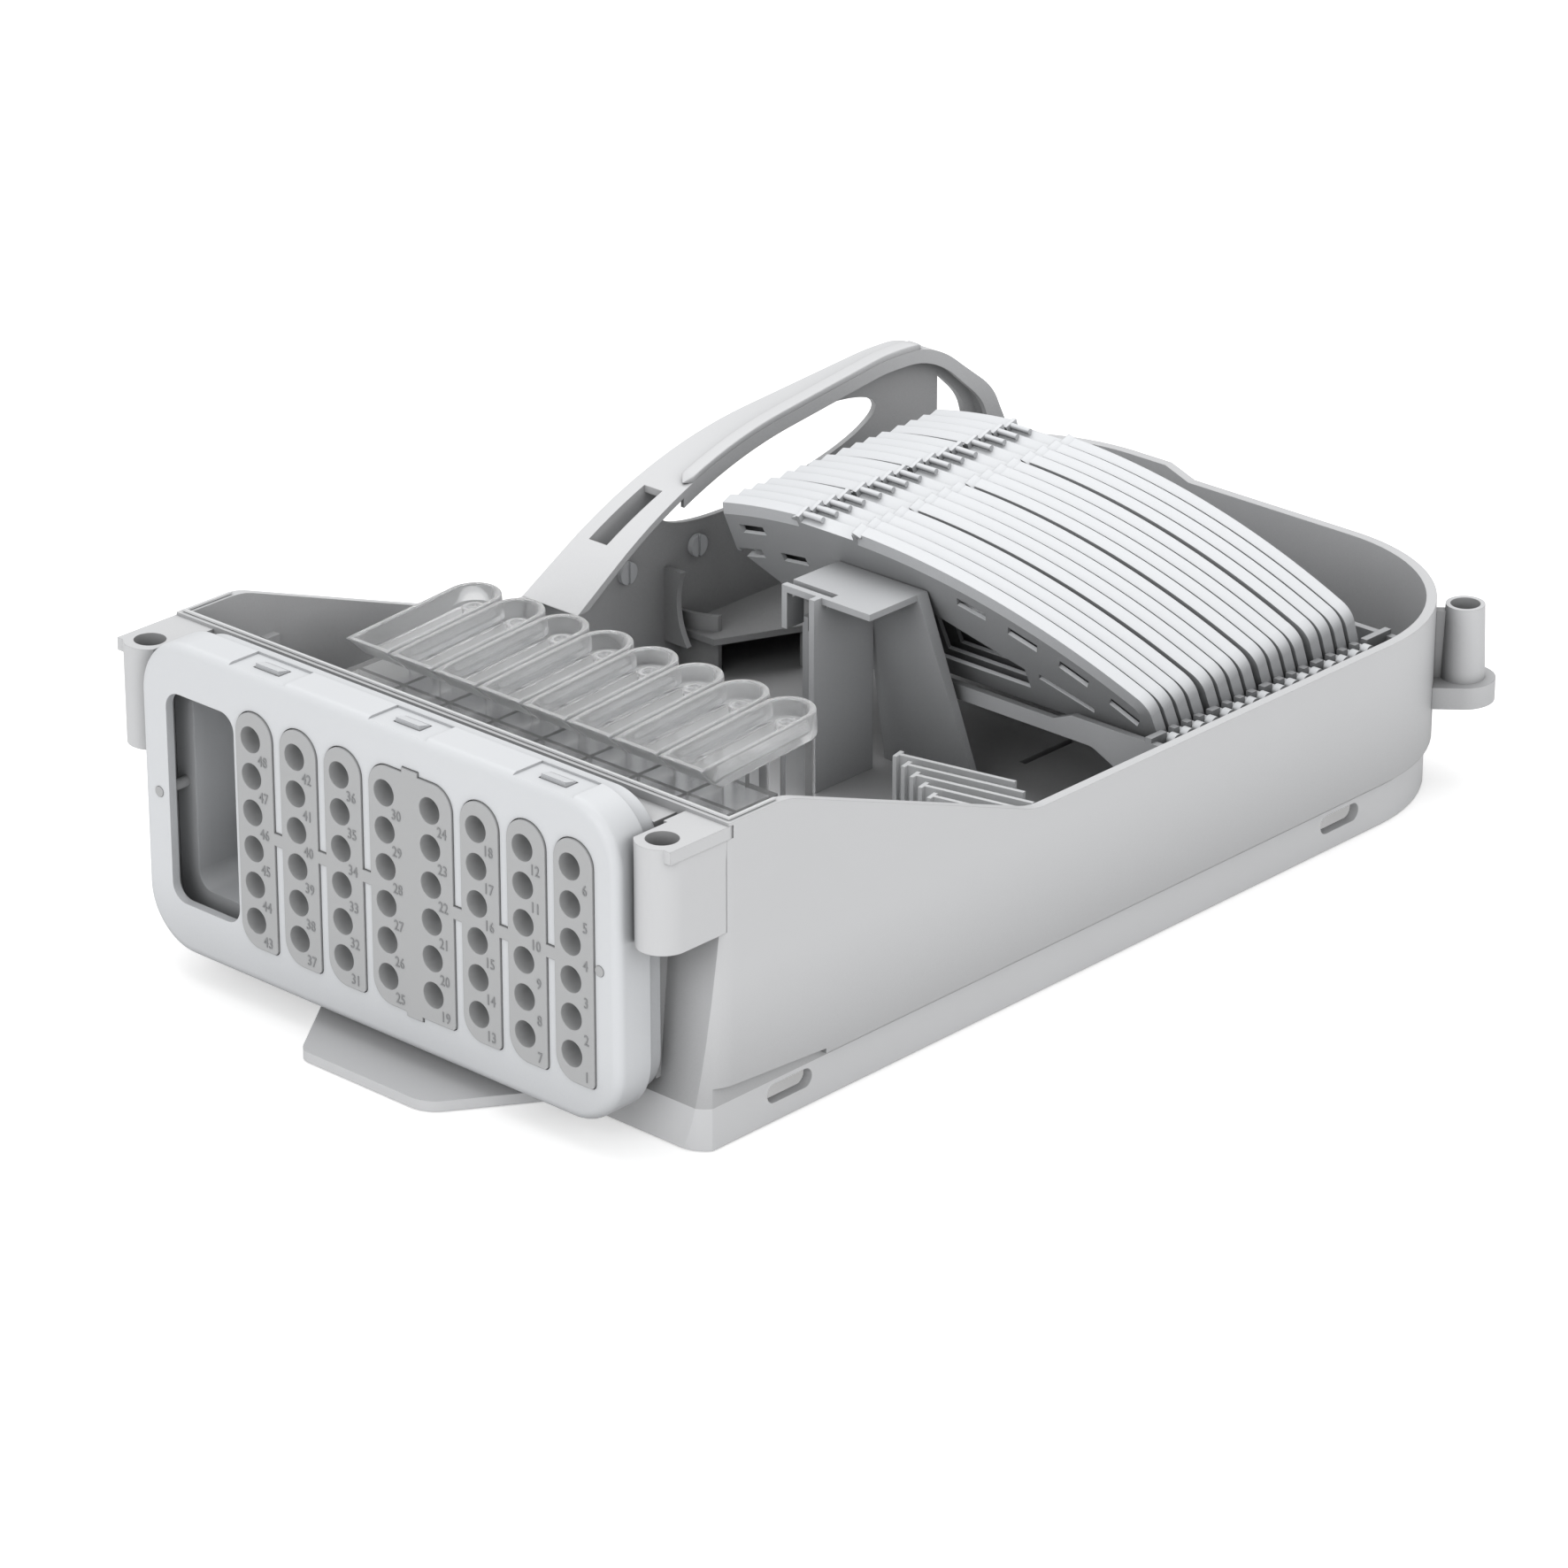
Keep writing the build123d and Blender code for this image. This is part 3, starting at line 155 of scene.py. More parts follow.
class SpliceSizes(bpy.types.PropertyGroup):
    """Sizes of what is added to the CAD part, and how soft its edges look."""

    number_height: length("Number height", "Height of a port number", 0.0030)
    number_relief: length("Number relief", "How far a number stands proud", 0.00018)
    number_offset: length("Number offset", "From a port to its number's right edge", 0.0062)
    port_pitch_x: length("Port column pitch", "From one port column to the next", 0.0167)
    port_pitch_z: length("Port row pitch", "From one port to the next in a column", 0.010477)
    port_first_x: length("First port column", "From the middle to the left column", 0.04481)
    port_mid_z: length("Port middle height", "Height of the middle of the columns", 0.0528)
    edge_round: length("Edge rounding", "Radius that softens a moulded edge", 0.00035)
    guard_foot_width: length("Guard width at its foot", "Width of the band at its foot", 0.022)
    guard_rear_width: length("Guard width at the rear", "Width of the band at the rear", 0.011)
    guard_taper: length("Guard taper", "Length over which the band narrows", 0.140)
    rear_corner: length("Rear corner", "Rounding of the housing's rear corners", 0.060)
    ridge_width: length("Guard ridge width", "Width of the ridge along the guard's edge", 0.0046)
    ridge_height: length("Guard ridge height", "Height of the ridge on the guard", 0.0024)
    ridge_start: length("Guard ridge start", "From the foot of the guard to the ridge", 0.0500)
    ridge_end: length("Guard ridge end", "From the foot of the guard to the ridge's end", 0.1570)
    hinge_height: length("Hinge height", "Height of the tray hinges", 0.048)
    hinge_first: length("First hinge", "Place of the first tray hinge behind the middle", 0.04635)
    tray_pitch: length("Tray pitch", "From one tray hinge to the next in a group", 0.0054)
    group_pitch: length("Group pitch", "From one group of trays to the next", 0.02287)
    group_size: count("Group size", "Trays in one group", 4)
    tray_lean: amount("Tray lean", "Forward lean of the first tray, in degrees", 24.0)
    fan_step: amount("Fan step", "How much less each next tray leans, in degrees", 0.37)
    tray_half: length("Half tray", "Half the thickness of a tray", 0.00225)
    crest_height: length("Crest height", "From the hinge to the top of a tray", 0.0433)
    hook_size: length("Hook size", "Height of the hooks at the ends of a tray's recess", 0.0015)
    hook_left: length("Left hook", "From the tray's left end to the left hook", 0.0318)
    hook_right: length("Right hook", "From the tray's left end to the right hook", 0.0528)
    latch_width: length("Latch width", "Width of a latch of the cable block", 0.0086)
    latch_length: length("Latch length", "Length of a latch from front to rear", 0.0036)
    latch_rise: length("Latch rise", "Height of the raised edge of a latch", 0.0011)
    latch_pitch: length("Latch pitch", "From one latch to the next", 0.0524)
    latch_middle: length("Middle latch", "Place of the middle latch across the block", 0.0092)
    latch_front: length("Latch front", "From the block's face to a latch", 0.0049)
    cup_wall: length("Cup wall", "Thickness of a clear cup's wall", 0.0018)
    cup_floor: length("Cup floor", "Thickness of a clear cup's floor", 0.0016)
    cup_lip: length("Cup lip rounding", "Rounding of the rim of a cup", 0.0006)
    cup_nose: length("Cup nose", "How far the front of a cup leans", 0.007)
    cup_tilt: amount("Cup tilt", "Rise of a cup toward the rear, in degrees", 3.75)
    port_columns: count("Port columns", "Columns of ports", 8)
    port_rows: count("Port rows", "Ports in one column", 6)


class SpliceStudio(bpy.types.PropertyGroup):
    """Lamps, floor and camera of the studio."""

    top_watts: amount("Top lamp", "Power of the large lamp above", 14.5, min=0.0, unit="POWER")
    front_watts: amount("Front lamp", "Power of the lamp in front", 13.0, min=0.0, unit="POWER")
    side_watts: amount("Side lamp", "Power of the lamp at the right", 9.0, min=0.0, unit="POWER")
    sky: amount("Sky", "Strength of the even light all round", 0.55, min=0.0)
    floor_size: length("Floor size", "Side of the square floor", 12.0)
    floor_glow: amount("Floor glow", "Light that only the camera sees on the floor", 0.42, min=0.0)
    camera_lens: amount("Camera lens", "Focal length", 153.91, min=1.0, unit="CAMERA")


def settings():
    """The add-on's settings of this scene."""
    scene = bpy.context.scene
    return scene.splice_shades, scene.splice_sizes, scene.splice_studio


def feed(tree, socket, value):
    """Links an input to an output, or gives it a plain value."""
    if isinstance(value, bpy.types.NodeSocket):
        tree.links.new(value, socket)
    else:
        socket.default_value = value


def node(tree, kind, place, **values):
    """A shader node at a place, with its attributes set and its inputs fed.

    A name that is no attribute of the node is an input, with _ for each space in its name.
    """
    made = tree.nodes.new(kind)
    made.location = place
    for key, value in values.items():
        if hasattr(made, key):
            setattr(made, key, value)
        else:
            feed(tree, made.inputs[key.replace("_", " ")], value)
    return made


def fed(tree, made, *values):
    """Feeds a node's inputs in their order and gives the node's first output."""
    for socket, value in zip(made.inputs, values):
        feed(tree, socket, value)
    return made.outputs[0]


def maths(tree, place, operation, *values):
    """Output of a maths node on values or outputs."""
    return fed(tree, node(tree, "ShaderNodeMath", place, operation=operation), *values)


def toned(colour, factor):
    """A colour made lighter or darker by a factor."""
    return [part * factor for part in colour]


def group_with(name, inputs, outputs):
    """An empty shader node group with named sockets, given as (name, kind, default)."""
    tree = bpy.data.node_groups.new(name, "ShaderNodeTree")
    for label, kind, value in inputs:
        socket = tree.interface.new_socket(label, in_out="INPUT", socket_type=kind)
        socket.default_value = value
    for label, kind in outputs:
        tree.interface.new_socket(label, in_out="OUTPUT", socket_type=kind)
    entry = node(tree, "NodeGroupInput", (-900, 0))
    leave = node(tree, "NodeGroupOutput", (700, 0))
    return tree, entry.outputs, leave


def moulded_group():
    """Group for moulded plastic.

    Colour is the plain colour times one plus a slow cloud noise; height is a fine noise for the
    spark-eroded grain plus a slow noise for sink marks; roughness follows the slow noise.
    """
    found = bpy.data.node_groups.get("moulded_surface")
    if found:
        return found
    tree, entry, leave = group_with(
        "moulded_surface",
        [
            ("Colour", "NodeSocketColor", (0.5, 0.5, 0.5, 1.0)),
            ("Grain Scale", "NodeSocketFloat", 2000.0),
            ("Cloud Scale", "NodeSocketFloat", 14.0),
            ("Cloud Amount", "NodeSocketFloat", 0.05),
            ("Rough Low", "NodeSocketFloat", 0.4),
            ("Rough High", "NodeSocketFloat", 0.55),
        ],
        [
            ("Colour", "NodeSocketColor"),
            ("Roughness", "NodeSocketFloat"),
            ("Height", "NodeSocketFloat"),
        ],
    )
    where = node(tree, "ShaderNodeTexCoord", (-900, -300)).outputs["Object"]
    cloud = node(
        tree, "ShaderNodeTexNoise", (-650, 100), Detail=3.0, Roughness=0.55, Vector=where,
        Scale=entry["Cloud Scale"],
    ).outputs["Fac"]
    grain = node(
        tree, "ShaderNodeTexNoise", (-650, -250), Detail=1.0, Roughness=0.5, Vector=where,
        Scale=entry["Grain Scale"],
    ).outputs["Fac"]
    centred = maths(tree, (-430, 200), "SUBTRACT", cloud, 0.5)
    swing = maths(tree, (-250, 200), "MULTIPLY_ADD", centred, entry["Cloud Amount"], 1.0)
    tint = node(
        tree, "ShaderNodeVectorMath", (0, 250), operation="SCALE", Vector=entry["Colour"],
        Scale=swing,
    )
    rough = node(
        tree, "ShaderNodeMapRange", (0, 0), Value=cloud, To_Min=entry["Rough Low"],
        To_Max=entry["Rough High"],
    )
    height = maths(tree, (0, -250), "MULTIPLY_ADD", cloud, 0.6, grain)
    feed(tree, leave.inputs["Colour"], tint.outputs["Vector"])
    feed(tree, leave.inputs["Roughness"], rough.outputs["Result"])
    feed(tree, leave.inputs["Height"], height)
    return tree


def fresh_material(name):
    """A new material and its node tree, which is empty."""
    material = bpy.data.materials.new(name)
    material.use_nodes = True
    material.node_tree.nodes.clear()
    return material, material.node_tree


def dimmed(tree, colour, recess, size, above, underside, open_top):
    """Output that holds a colour times closed * below: shade painted into the colour.

    Closed is painted shade in hollows: it falls from 1 to 1 - recess where walls stand round a
    point within a size, but only above a height, and faces that look up are spared the share
    open_top of that. Below is painted shade on undersides: it falls from 1 to 1 - underside on
    faces that lean toward the floor.
    """
    where = node(tree, "ShaderNodeTexCoord", (-1300, 500))
    place = node(tree, "ShaderNodeSeparateXYZ", (-1100, 600), Vector=where.outputs["Object"])
    facing = node(tree, "ShaderNodeSeparateXYZ", (-1100, 400), Vector=where.outputs["Normal"])
    # Painted shade in hollows, read from an ambient occlusion node.
    sky = node(tree, "ShaderNodeAmbientOcclusion", (-700, 300), samples=6, Distance=size)
    depth = node(
        tree, "ShaderNodeMapRange", (-450, 300), Value=sky.outputs["AO"], To_Min=1.0 - recess,
        To_Max=1.0,
    )
    raised = maths(tree, (-900, 600), "GREATER_THAN", place.outputs["Z"], above)
    held = node(
        tree, "ShaderNodeMix", (-450, 500), Factor=raised, A=1.0, B=depth.outputs["Result"]
    )
    upward = node(
        tree, "ShaderNodeMapRange", (-900, 200), Value=facing.outputs["Z"],
        From_Min=TOP_SHADE_FADE[0], From_Max=TOP_SHADE_FADE[1], To_Max=open_top,
    )
    closed = node(
        tree, "ShaderNodeMix", (-450, 700), Factor=upward.outputs["Result"],
        A=held.outputs["Result"], B=1.0,
    )
    # Painted shade on faces that lean toward the floor.
    below = node(
        tree, "ShaderNodeMapRange", (-900, 400), Value=facing.outputs["Z"],
        From_Min=UNDERSIDE_SHADE_FADE[0], From_Max=UNDERSIDE_SHADE_FADE[1], To_Min=1.0 - underside,
        To_Max=1.0,
    )
    share = maths(
        tree, (-300, 450), "MULTIPLY", closed.outputs["Result"], below.outputs["Result"]
    )
    dim = node(
        tree, "ShaderNodeVectorMath", (-220, 250), operation="SCALE", Vector=colour, Scale=share
    )
    return dim.outputs["Vector"]


def moulded(
    name, colour, grain=2000.0, low=0.38, high=0.52, relief=0.00003, soft=None, recess=0.0,
    recess_size=0.07, recess_above=-1.0, underside=0.0, open_top=0.0,
):
    """Material of a moulded plastic or rubber piece: grain, slow clouding and softened edges.

    Low and high bound the roughness, and soft is the radius of the edges. The last five set the
    painted shade that darkens what is closed in or looks down, as told where it is painted.
    """
    material, tree = fresh_material(name)
    surface = node(
        tree, "ShaderNodeGroup", (-500, 0), node_tree=moulded_group(), Colour=(*colour, 1.0),
        Grain_Scale=grain, Rough_Low=low, Rough_High=high,
    ).outputs
    tint = surface["Colour"]
    # Painted shade: hollows and undersides darken the colour.
    if recess:
        tint = dimmed(tree, tint, recess, recess_size, recess_above, underside, open_top)
    bump = node(
        tree, "ShaderNodeBump", (-200, -250), Strength=0.35, Distance=relief,
        Height=surface["Height"],
    )
    if soft:
        edge = node(tree, "ShaderNodeBevel", (-450, -400), samples=4, Radius=soft)
        feed(tree, bump.inputs["Normal"], edge.outputs["Normal"])
    shader = node(
        tree, "ShaderNodeBsdfPrincipled", (0, 0), IOR=1.49, Base_Color=tint,
        Roughness=surface["Roughness"], Normal=bump.outputs["Normal"],
    )
    node(tree, "ShaderNodeOutputMaterial", (300, 0), Surface=shader.outputs[0])
    return material


def clear_plastic(name, colour, rough, clear, frost):
    """Material of a clear injection-moulded piece with faint flow marks in its surface.

    Frost is the share of plain pale surface that shows where it is seen at a slant.
    """
    material, tree = fresh_material(name)
    surface = node(
        tree, "ShaderNodeGroup", (-500, 0), node_tree=moulded_group(), Colour=(*colour, 1.0),
        Grain_Scale=400.0, Rough_Low=rough, Rough_High=rough * 2.5,
    ).outputs
    bump = node(
        tree, "ShaderNodeBump", (-200, -250), Strength=0.2, Distance=0.00005,
        Height=surface["Height"],
    )
    shader = node(
        tree, "ShaderNodeBsdfPrincipled", (0, 0), IOR=1.46, Transmission_Weight=clear,
        Base_Color=surface["Colour"], Roughness=surface["Roughness"],
        Normal=bump.outputs["Normal"],
    )
    pale = node(
        tree, "ShaderNodeBsdfPrincipled", (0, 500), Roughness=0.4,
        Base_Color=(*toned(colour, 0.85), 1.0),
    )
    slant = node(tree, "ShaderNodeLayerWeight", (-500, 400), Blend=0.35)
    share = maths(tree, (-250, 400), "MULTIPLY", slant.outputs["Facing"], frost)
    mix = node(tree, "ShaderNodeMixShader", (250, 200))
    blend = fed(tree, mix, share, shader.outputs[0], pale.outputs[0])
    node(tree, "ShaderNodeOutputMaterial", (450, 0), Surface=blend)
    return material


def dress(names, material):
    """Puts a material on CAD nodes through their own slots."""
    for name in names:
        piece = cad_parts[name]
        if not piece.material_slots:
            piece.data.materials.append(material)
        for slot in piece.material_slots:
            slot.material = material


def nodes_like(start):
    """Names of the CAD nodes that begin with these words."""
    return sorted(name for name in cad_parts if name.startswith(start))


def grid_mesh(name, points, closed_u=False, closed_v=False):
    """Mesh of a grid of points (rows, columns, 3); each cell is one quad."""
    rows, columns = points.shape[:2]
    index = np.arange(rows * columns).reshape(rows, columns)
    if closed_u:
        index = np.vstack([index, index[:1]])
    if closed_v:
        index = np.hstack([index, index[:, :1]])
    quads = np.stack([index[:-1, :-1], index[:-1, 1:], index[1:, 1:], index[1:, :-1]], axis=-1)
    mesh = bpy.data.meshes.new(name)
    mesh.from_pydata(points.reshape(-1, 3).tolist(), [], quads.reshape(-1, 4).tolist())
    mesh.update()
    return mesh


def mesh_points(mesh):
    """Vertices of a mesh as an array (count, 3)."""
    flat = np.zeros(len(mesh.vertices) * 3, np.float32)
    mesh.vertices.foreach_get("co", flat)
    return flat.reshape(-1, 3).astype(float)


def shaded(mesh, rounded):
    """Gives every face of a mesh smooth or flat shading."""
    mesh.polygons.foreach_set("use_smooth", np.full(len(mesh.polygons), rounded))
    return mesh


def joined(name, parts, rounded):
    """One mesh from several, which are removed."""
    spots, faces, start = [], [], 0
    for part in parts:
        faces += [[start + v for v in polygon.vertices] for polygon in part.polygons]
        spots.append(mesh_points(part))
        start += len(spots[-1])
        bpy.data.meshes.remove(part)
    mesh = bpy.data.meshes.new(name)
    mesh.from_pydata(np.vstack(spots).tolist(), [], faces)
    mesh.update()
    return shaded(mesh, rounded)


def add_piece(name, mesh, material, body=ROOT):
    """Links a new piece, gives it its material and slot and lets it ride on its body."""
    piece = bpy.data.objects.new(name, mesh)
    bpy.context.scene.collection.objects.link(piece)
    mesh.materials.append(material)
    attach(piece, body)
    return piece


def upper_line(across, up):
    """Upper convex outline of points: their places across, in order, and heights."""
    order = np.lexsort((-up, across))
    line = []
    for place, height in zip(across[order], up[order]):
        while len(line) > 1:
            (a, b), (c, d) = line[-2:]
            if (c - a) * (height - b) - (d - b) * (place - a) < 0:
                break
            line.pop()
        line.append((place, height))
    return np.array(line).T


def prism(outline, middle, half):
    """Places along and outlines (4, count, 2) of the four rings of a closed prism.

    Its outline stands at -half and at half, and the first and the last ring are drawn together
    at the outline's middle to close the ends.
    """
    shrink = np.array([0.0, 1.0, 1.0, 0.0])[:, None, None]
    along = np.array([-1.0, -1.0, 1.0, 1.0])[:, None] * half
    return along, middle + shrink * (outline - middle)


def latch_wedges(sizes):
    """Mesh of the wedges on the upper latches: each top slopes down from its front edge."""
    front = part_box("gland_cover")[0].y + sizes.latch_front
    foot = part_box("gland_cover")[1].z - LATCH_SUNK * sizes.latch_rise
    outline = np.array(LATCH_OUTLINE) * (sizes.latch_length, sizes.latch_rise)
    middle = (sizes.latch_length / 2, sizes.latch_rise)
    along, rings = prism(outline, middle, sizes.latch_width / 2)
    wedges = []
    for place in (-1, 0, 1):
        x = sizes.latch_middle + place * sizes.latch_pitch + along
        wedge = [np.broadcast_to(x, rings.shape[:2]), front + rings[..., 0], foot + rings[..., 1]]
        wedges.append(grid_mesh("wedge", np.stack(wedge, axis=-1), closed_v=True))
    return joined("latch_wedges", wedges, rounded=False)


def tray_hooks(number, sizes):
    """Mesh of the two small hooks on the top of one tray, at the ends of its recess.

    A hook is a curved thorn, drawn in the tray's own plane and as thick as the tray: its two
    flanks are arcs that meet at a tip over the recess. Place, lean and fan follow the tray.
    """
    group, place = divmod(number, sizes.group_size)
    hinge = sizes.hinge_first + group * sizes.group_pitch + place * sizes.tray_pitch
    lean = math.radians(sizes.tray_lean - number * sizes.fan_step)
    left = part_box(f"splice_tray_{number + 1:02d}")[0].x
    rise = np.linspace(0.0, 1.0, HOOK_POINTS)
    outer = -HOOK_OUTER * (1.0 - rise**2)
    inner = -HOOK_INNER * (1.0 - rise[::-1] ** 0.5)
    reach = np.concatenate([outer, inner]) * sizes.hook_size
    up = (np.concatenate([rise, rise[::-1]]) - HOOK_SUNK) * sizes.hook_size
    hooks = []
    for start, way in ((sizes.hook_left, 1.0), (sizes.hook_right, -1.0)):
        crest = sizes.crest_height - (start - sizes.hook_right) ** 2 * CREST_BEND
        outline = np.stack([start + way * reach, crest + up], axis=-1)
        thick, rings = prism(outline, outline.mean(axis=0), sizes.tray_half)
        hook = [
            left + rings[..., 0],
            hinge - thick * math.cos(lean) - rings[..., 1] * math.sin(lean),
            sizes.hinge_height - thick * math.sin(lean) + rings[..., 1] * math.cos(lean),
        ]
        hooks.append(grid_mesh("hook", np.stack(hook, axis=-1), closed_v=True))
    return joined(f"tray_{number + 1:02d}_hooks", hooks, rounded=False)


def guard_ridge(sizes):
    """Grid mesh of the ridge on the guard's inner edge.

    Ring i of the grid stands at y = start + i * step; its profile is a rounded bar whose inner
    side follows the edge x(y) and whose foot follows the arch z(y) of the guard, and the bar's
    size falls to nothing over the first and last ring.
    """
    points = mesh_points(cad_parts["side_guard"].data)
    y, z = upper_line(points[:, 1], points[:, 2])
    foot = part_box("side_guard")[0].y
    along = np.linspace(foot + sizes.ridge_start, foot + sizes.ridge_end, RIDGE_RINGS)
    height = np.interp(along, y, z)
    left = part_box("housing_base")[0].x
    width = np.interp(
        along - foot, [0.0, sizes.guard_taper], [sizes.guard_foot_width, sizes.guard_rear_width]
    )
    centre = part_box("housing_base")[1].y - sizes.rear_corner
    radius = sizes.rear_corner - sizes.guard_rear_width
    past = np.clip(along - centre, 0.0, radius)
    inner = left + width + radius - np.sqrt(radius**2 - past**2)
    turn = np.linspace(0.0, 2.0 * np.pi, RIDGE_POINTS, endpoint=False)
    side = np.sign(np.cos(turn)) * np.abs(np.cos(turn)) ** RIDGE_SQUARENESS
    rise = np.sign(np.sin(turn)) * np.abs(np.sin(turn)) ** RIDGE_SQUARENESS
    swell = np.ones_like(along)
    swell[[0, -1]] = RIDGE_END
    x = inner[:, None] - sizes.ridge_width / 2 * (1.0 - side * swell[:, None])
    z = height[:, None] + sizes.ridge_height / 2 * (RIDGE_LIFT + rise * swell[:, None])
    y = np.broadcast_to(along[:, None], x.shape)
    ridge = grid_mesh("guard_ridge", np.stack([x, y, z], axis=-1), closed_v=True)
    return shaded(ridge, rounded=True)


def cup_ring(width, depth, nose, height, inset, z):
    """Closed ring of points round a cup at one height, set in from its outside.

    The rear end is a half circle of radius width / 2 - inset. The front end is straight and
    leans: its place is nose * (1 - z / height) + inset.
    """
    radius = max(width / 2 - inset, RING_LEAST)
    rear = depth - width / 2
    bow = nose * (1.0 - z / height) + min(inset, width / 4)
    side = np.linspace(0.0, 1.0, CUP_SIDE_STEPS + 1)
    sweep = np.linspace(0.0, np.pi, CUP_ROUND_STEPS + 1)
    front = radius * np.linspace(-1.0, 1.0, CUP_SIDE_STEPS + 1)[1:-1]
    x = np.concatenate([
        np.full(CUP_SIDE_STEPS, radius), radius * np.cos(sweep),
        np.full(CUP_SIDE_STEPS, -radius), front,
    ])
    y = np.concatenate([
        bow + (rear - bow) * side[:-1], rear + radius * np.sin(sweep),
        rear + (bow - rear) * side[1:], np.full_like(front, bow),
    ])
    return np.stack([x, y, np.full_like(x, z)], axis=-1)


def cup_points(width, depth, nose, height, sizes):
    """Grid of rings that makes one closed cup with a rounded lip, foot and inner corner.

    Each row of the profile is (inset, height): up the outside, over the lip as a half ellipse
    as wide as cup_wall and cup_lip high, down the inside and in over the floor.
    """
    wall, floor, soft = sizes.cup_wall, sizes.cup_floor, sizes.cup_lip
    inner = 2 * soft
    lip = np.linspace(0.0, np.pi, CUP_LIP_POINTS)
    foot = np.linspace(0.0, np.pi / 2, CUP_FOOT_POINTS)
    profile = [(width / 2, 0.0)]
    profile += [(soft * (1 - np.sin(a)), soft * (1 - np.cos(a))) for a in foot]
    profile += [(wall / 2 * (1 - np.cos(a)), height - soft + soft * np.sin(a)) for a in lip]
    profile += [
        (wall + inner * (1 - np.cos(a)), floor + inner * (1 - np.sin(a))) for a in foot
    ]
    profile.append((width / 2, floor))
    return np.stack([cup_ring(width, depth, nose, height, inset, z) for inset, z in profile])


def boss_points(centre, inner, outer, low, high):
    """Grid of a small ring-shaped boss: a square profile turned about an upright axis."""
    turn = np.linspace(0.0, 2 * np.pi, CUP_BOSS_POINTS, endpoint=False)
    profile = np.array([(inner, low), (outer, low), (outer, high), (inner, high)])
    x = profile[:, :1] * np.cos(turn)
    y = centre + profile[:, :1] * np.sin(turn)
    return np.stack([x, y, np.broadcast_to(profile[:, 1:], x.shape)], axis=-1)


def cup_mesh(name, sizes):
    """Mesh of one clear cup, in the box of its CAD node turned back by the cup's tilt.

    A low ring-shaped boss stands on its floor at the centre of its round end.
    """
    lean = np.array(Matrix.Rotation(math.radians(sizes.cup_tilt), 3, "X"))
    level = mesh_points(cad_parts[name].data) @ lean
    low, high = level.min(axis=0), level.max(axis=0)
    width, depth, height = high - low
    floor = sizes.cup_floor
    bore, rim, top = width / 9, width / 5, 2.2 * floor
    shift = np.array([(low[0] + high[0]) / 2, low[1], low[2]])
    cup = cup_points(width, depth, sizes.cup_nose, height, sizes)
    boss = boss_points(depth - width / 2, bore, rim, floor, top)
    return joined(name, [
        grid_mesh(name, (cup + shift) @ lean.T, closed_v=True),
        grid_mesh(name, (boss + shift) @ lean.T, closed_u=True, closed_v=True),
    ], rounded=True)


def number_mesh(number, across, up, face, sizes):
    """Mesh of one port number that stands on the seal's face, with its right edge at across."""
    text = bpy.data.curves.new("number", "FONT")
    text.body = str(number)
    text.size = sizes.number_height * DIGIT_FONT
    text.align_x = "RIGHT"
    text.align_y = "CENTER"
    text.extrude = sizes.number_relief
    text.resolution_u = 2
    carrier = bpy.data.objects.new("number", text)
    mesh = bpy.data.meshes.new_from_object(carrier)
    bpy.data.objects.remove(carrier)
    mesh.transform(
        Matrix.Translation((across, face, up)) @ Matrix.Rotation(math.pi / 2, 4, "X")
        @ Matrix.Diagonal((DIGIT_WIDTH, 1.0, 1.0, 1.0))
    )
    return mesh


class SPLICE_OT_housing(bpy.types.Operator):
    """Light grey housing base, its guard and its rim seal"""

    bl_idname = "splice.housing"
    bl_label = "Housing and guard"

    def execute(self, context):
        shades, sizes, _ = settings()
        soft = sizes.edge_round
        # Painted shade darkens the housing's hollows above 12 mm, and the hollows of the guard and
        # its ridge.
        grey = moulded(
            "housing_grey", shades.housing, soft=soft, recess=0.75, recess_size=0.05,
            recess_above=0.012,
        )
        pale = moulded("guard_grey", toned(shades.housing, 1.08), soft=soft, recess=0.85)
        cord = moulded("rim_seal_grey", toned(shades.seal, 1.45), grain=900.0, low=0.6, high=0.7)
        dress(["housing_base", *nodes_like("cover_")], grey)
        dress(["side_guard"], pale)
        dress(["rim_seal"], cord)
        dress(nodes_like("guard_fastener"), moulded("fastener_grey", shades.inner, soft=soft))
        add_piece("guard_ridge", guard_ridge(sizes), pale)
        return {"FINISHED"}


class SPLICE_OT_cable_block(bpy.types.Operator):
    """Near white cable block with its soft port seal and pins"""

    bl_idname = "splice.cable_block"
    bl_label = "Cable block"

    def execute(self, context):
        shades, sizes, _ = settings()
        soft = sizes.edge_round
        # Painted shade darkens the block's recesses and the seal's narrow gaps round its pads and
        # bores.
        white = moulded("block_white", shades.block, soft=soft, recess=0.62, recess_size=0.03)
        seal = moulded(
            "seal_grey", shades.seal, grain=900.0, low=0.6, high=0.75, soft=soft, recess=0.5,
            recess_size=0.004,
        )
        dress(["gland_cover", "gland_body"], white)
        dress(["port_seal", "gland_pins"], seal)
        add_piece("latch_wedges", latch_wedges(sizes), white)
        return {"FINISHED"}


class SPLICE_OT_trays(bpy.types.Operator):
    """Sixteen white splice trays"""

    bl_idname = "splice.trays"
    bl_label = "Splice trays"

    def execute(self, context):
        shades, sizes, _ = settings()
        # Painted shade darkens the gaps between trays and the faces that lean down, and mostly
        # spares the tops.
        white = moulded(
            "tray_white", shades.tray, soft=sizes.edge_round, recess=0.7, underside=0.38,
            open_top=0.8,
        )
        trays = nodes_like("splice_tray")
        dress(trays, white)
        for number, name in enumerate(trays):
            hooks = tray_hooks(number, sizes)
            add_piece(hooks.name, hooks, white, body=f"{name}_leaf")
        return {"FINISHED"}


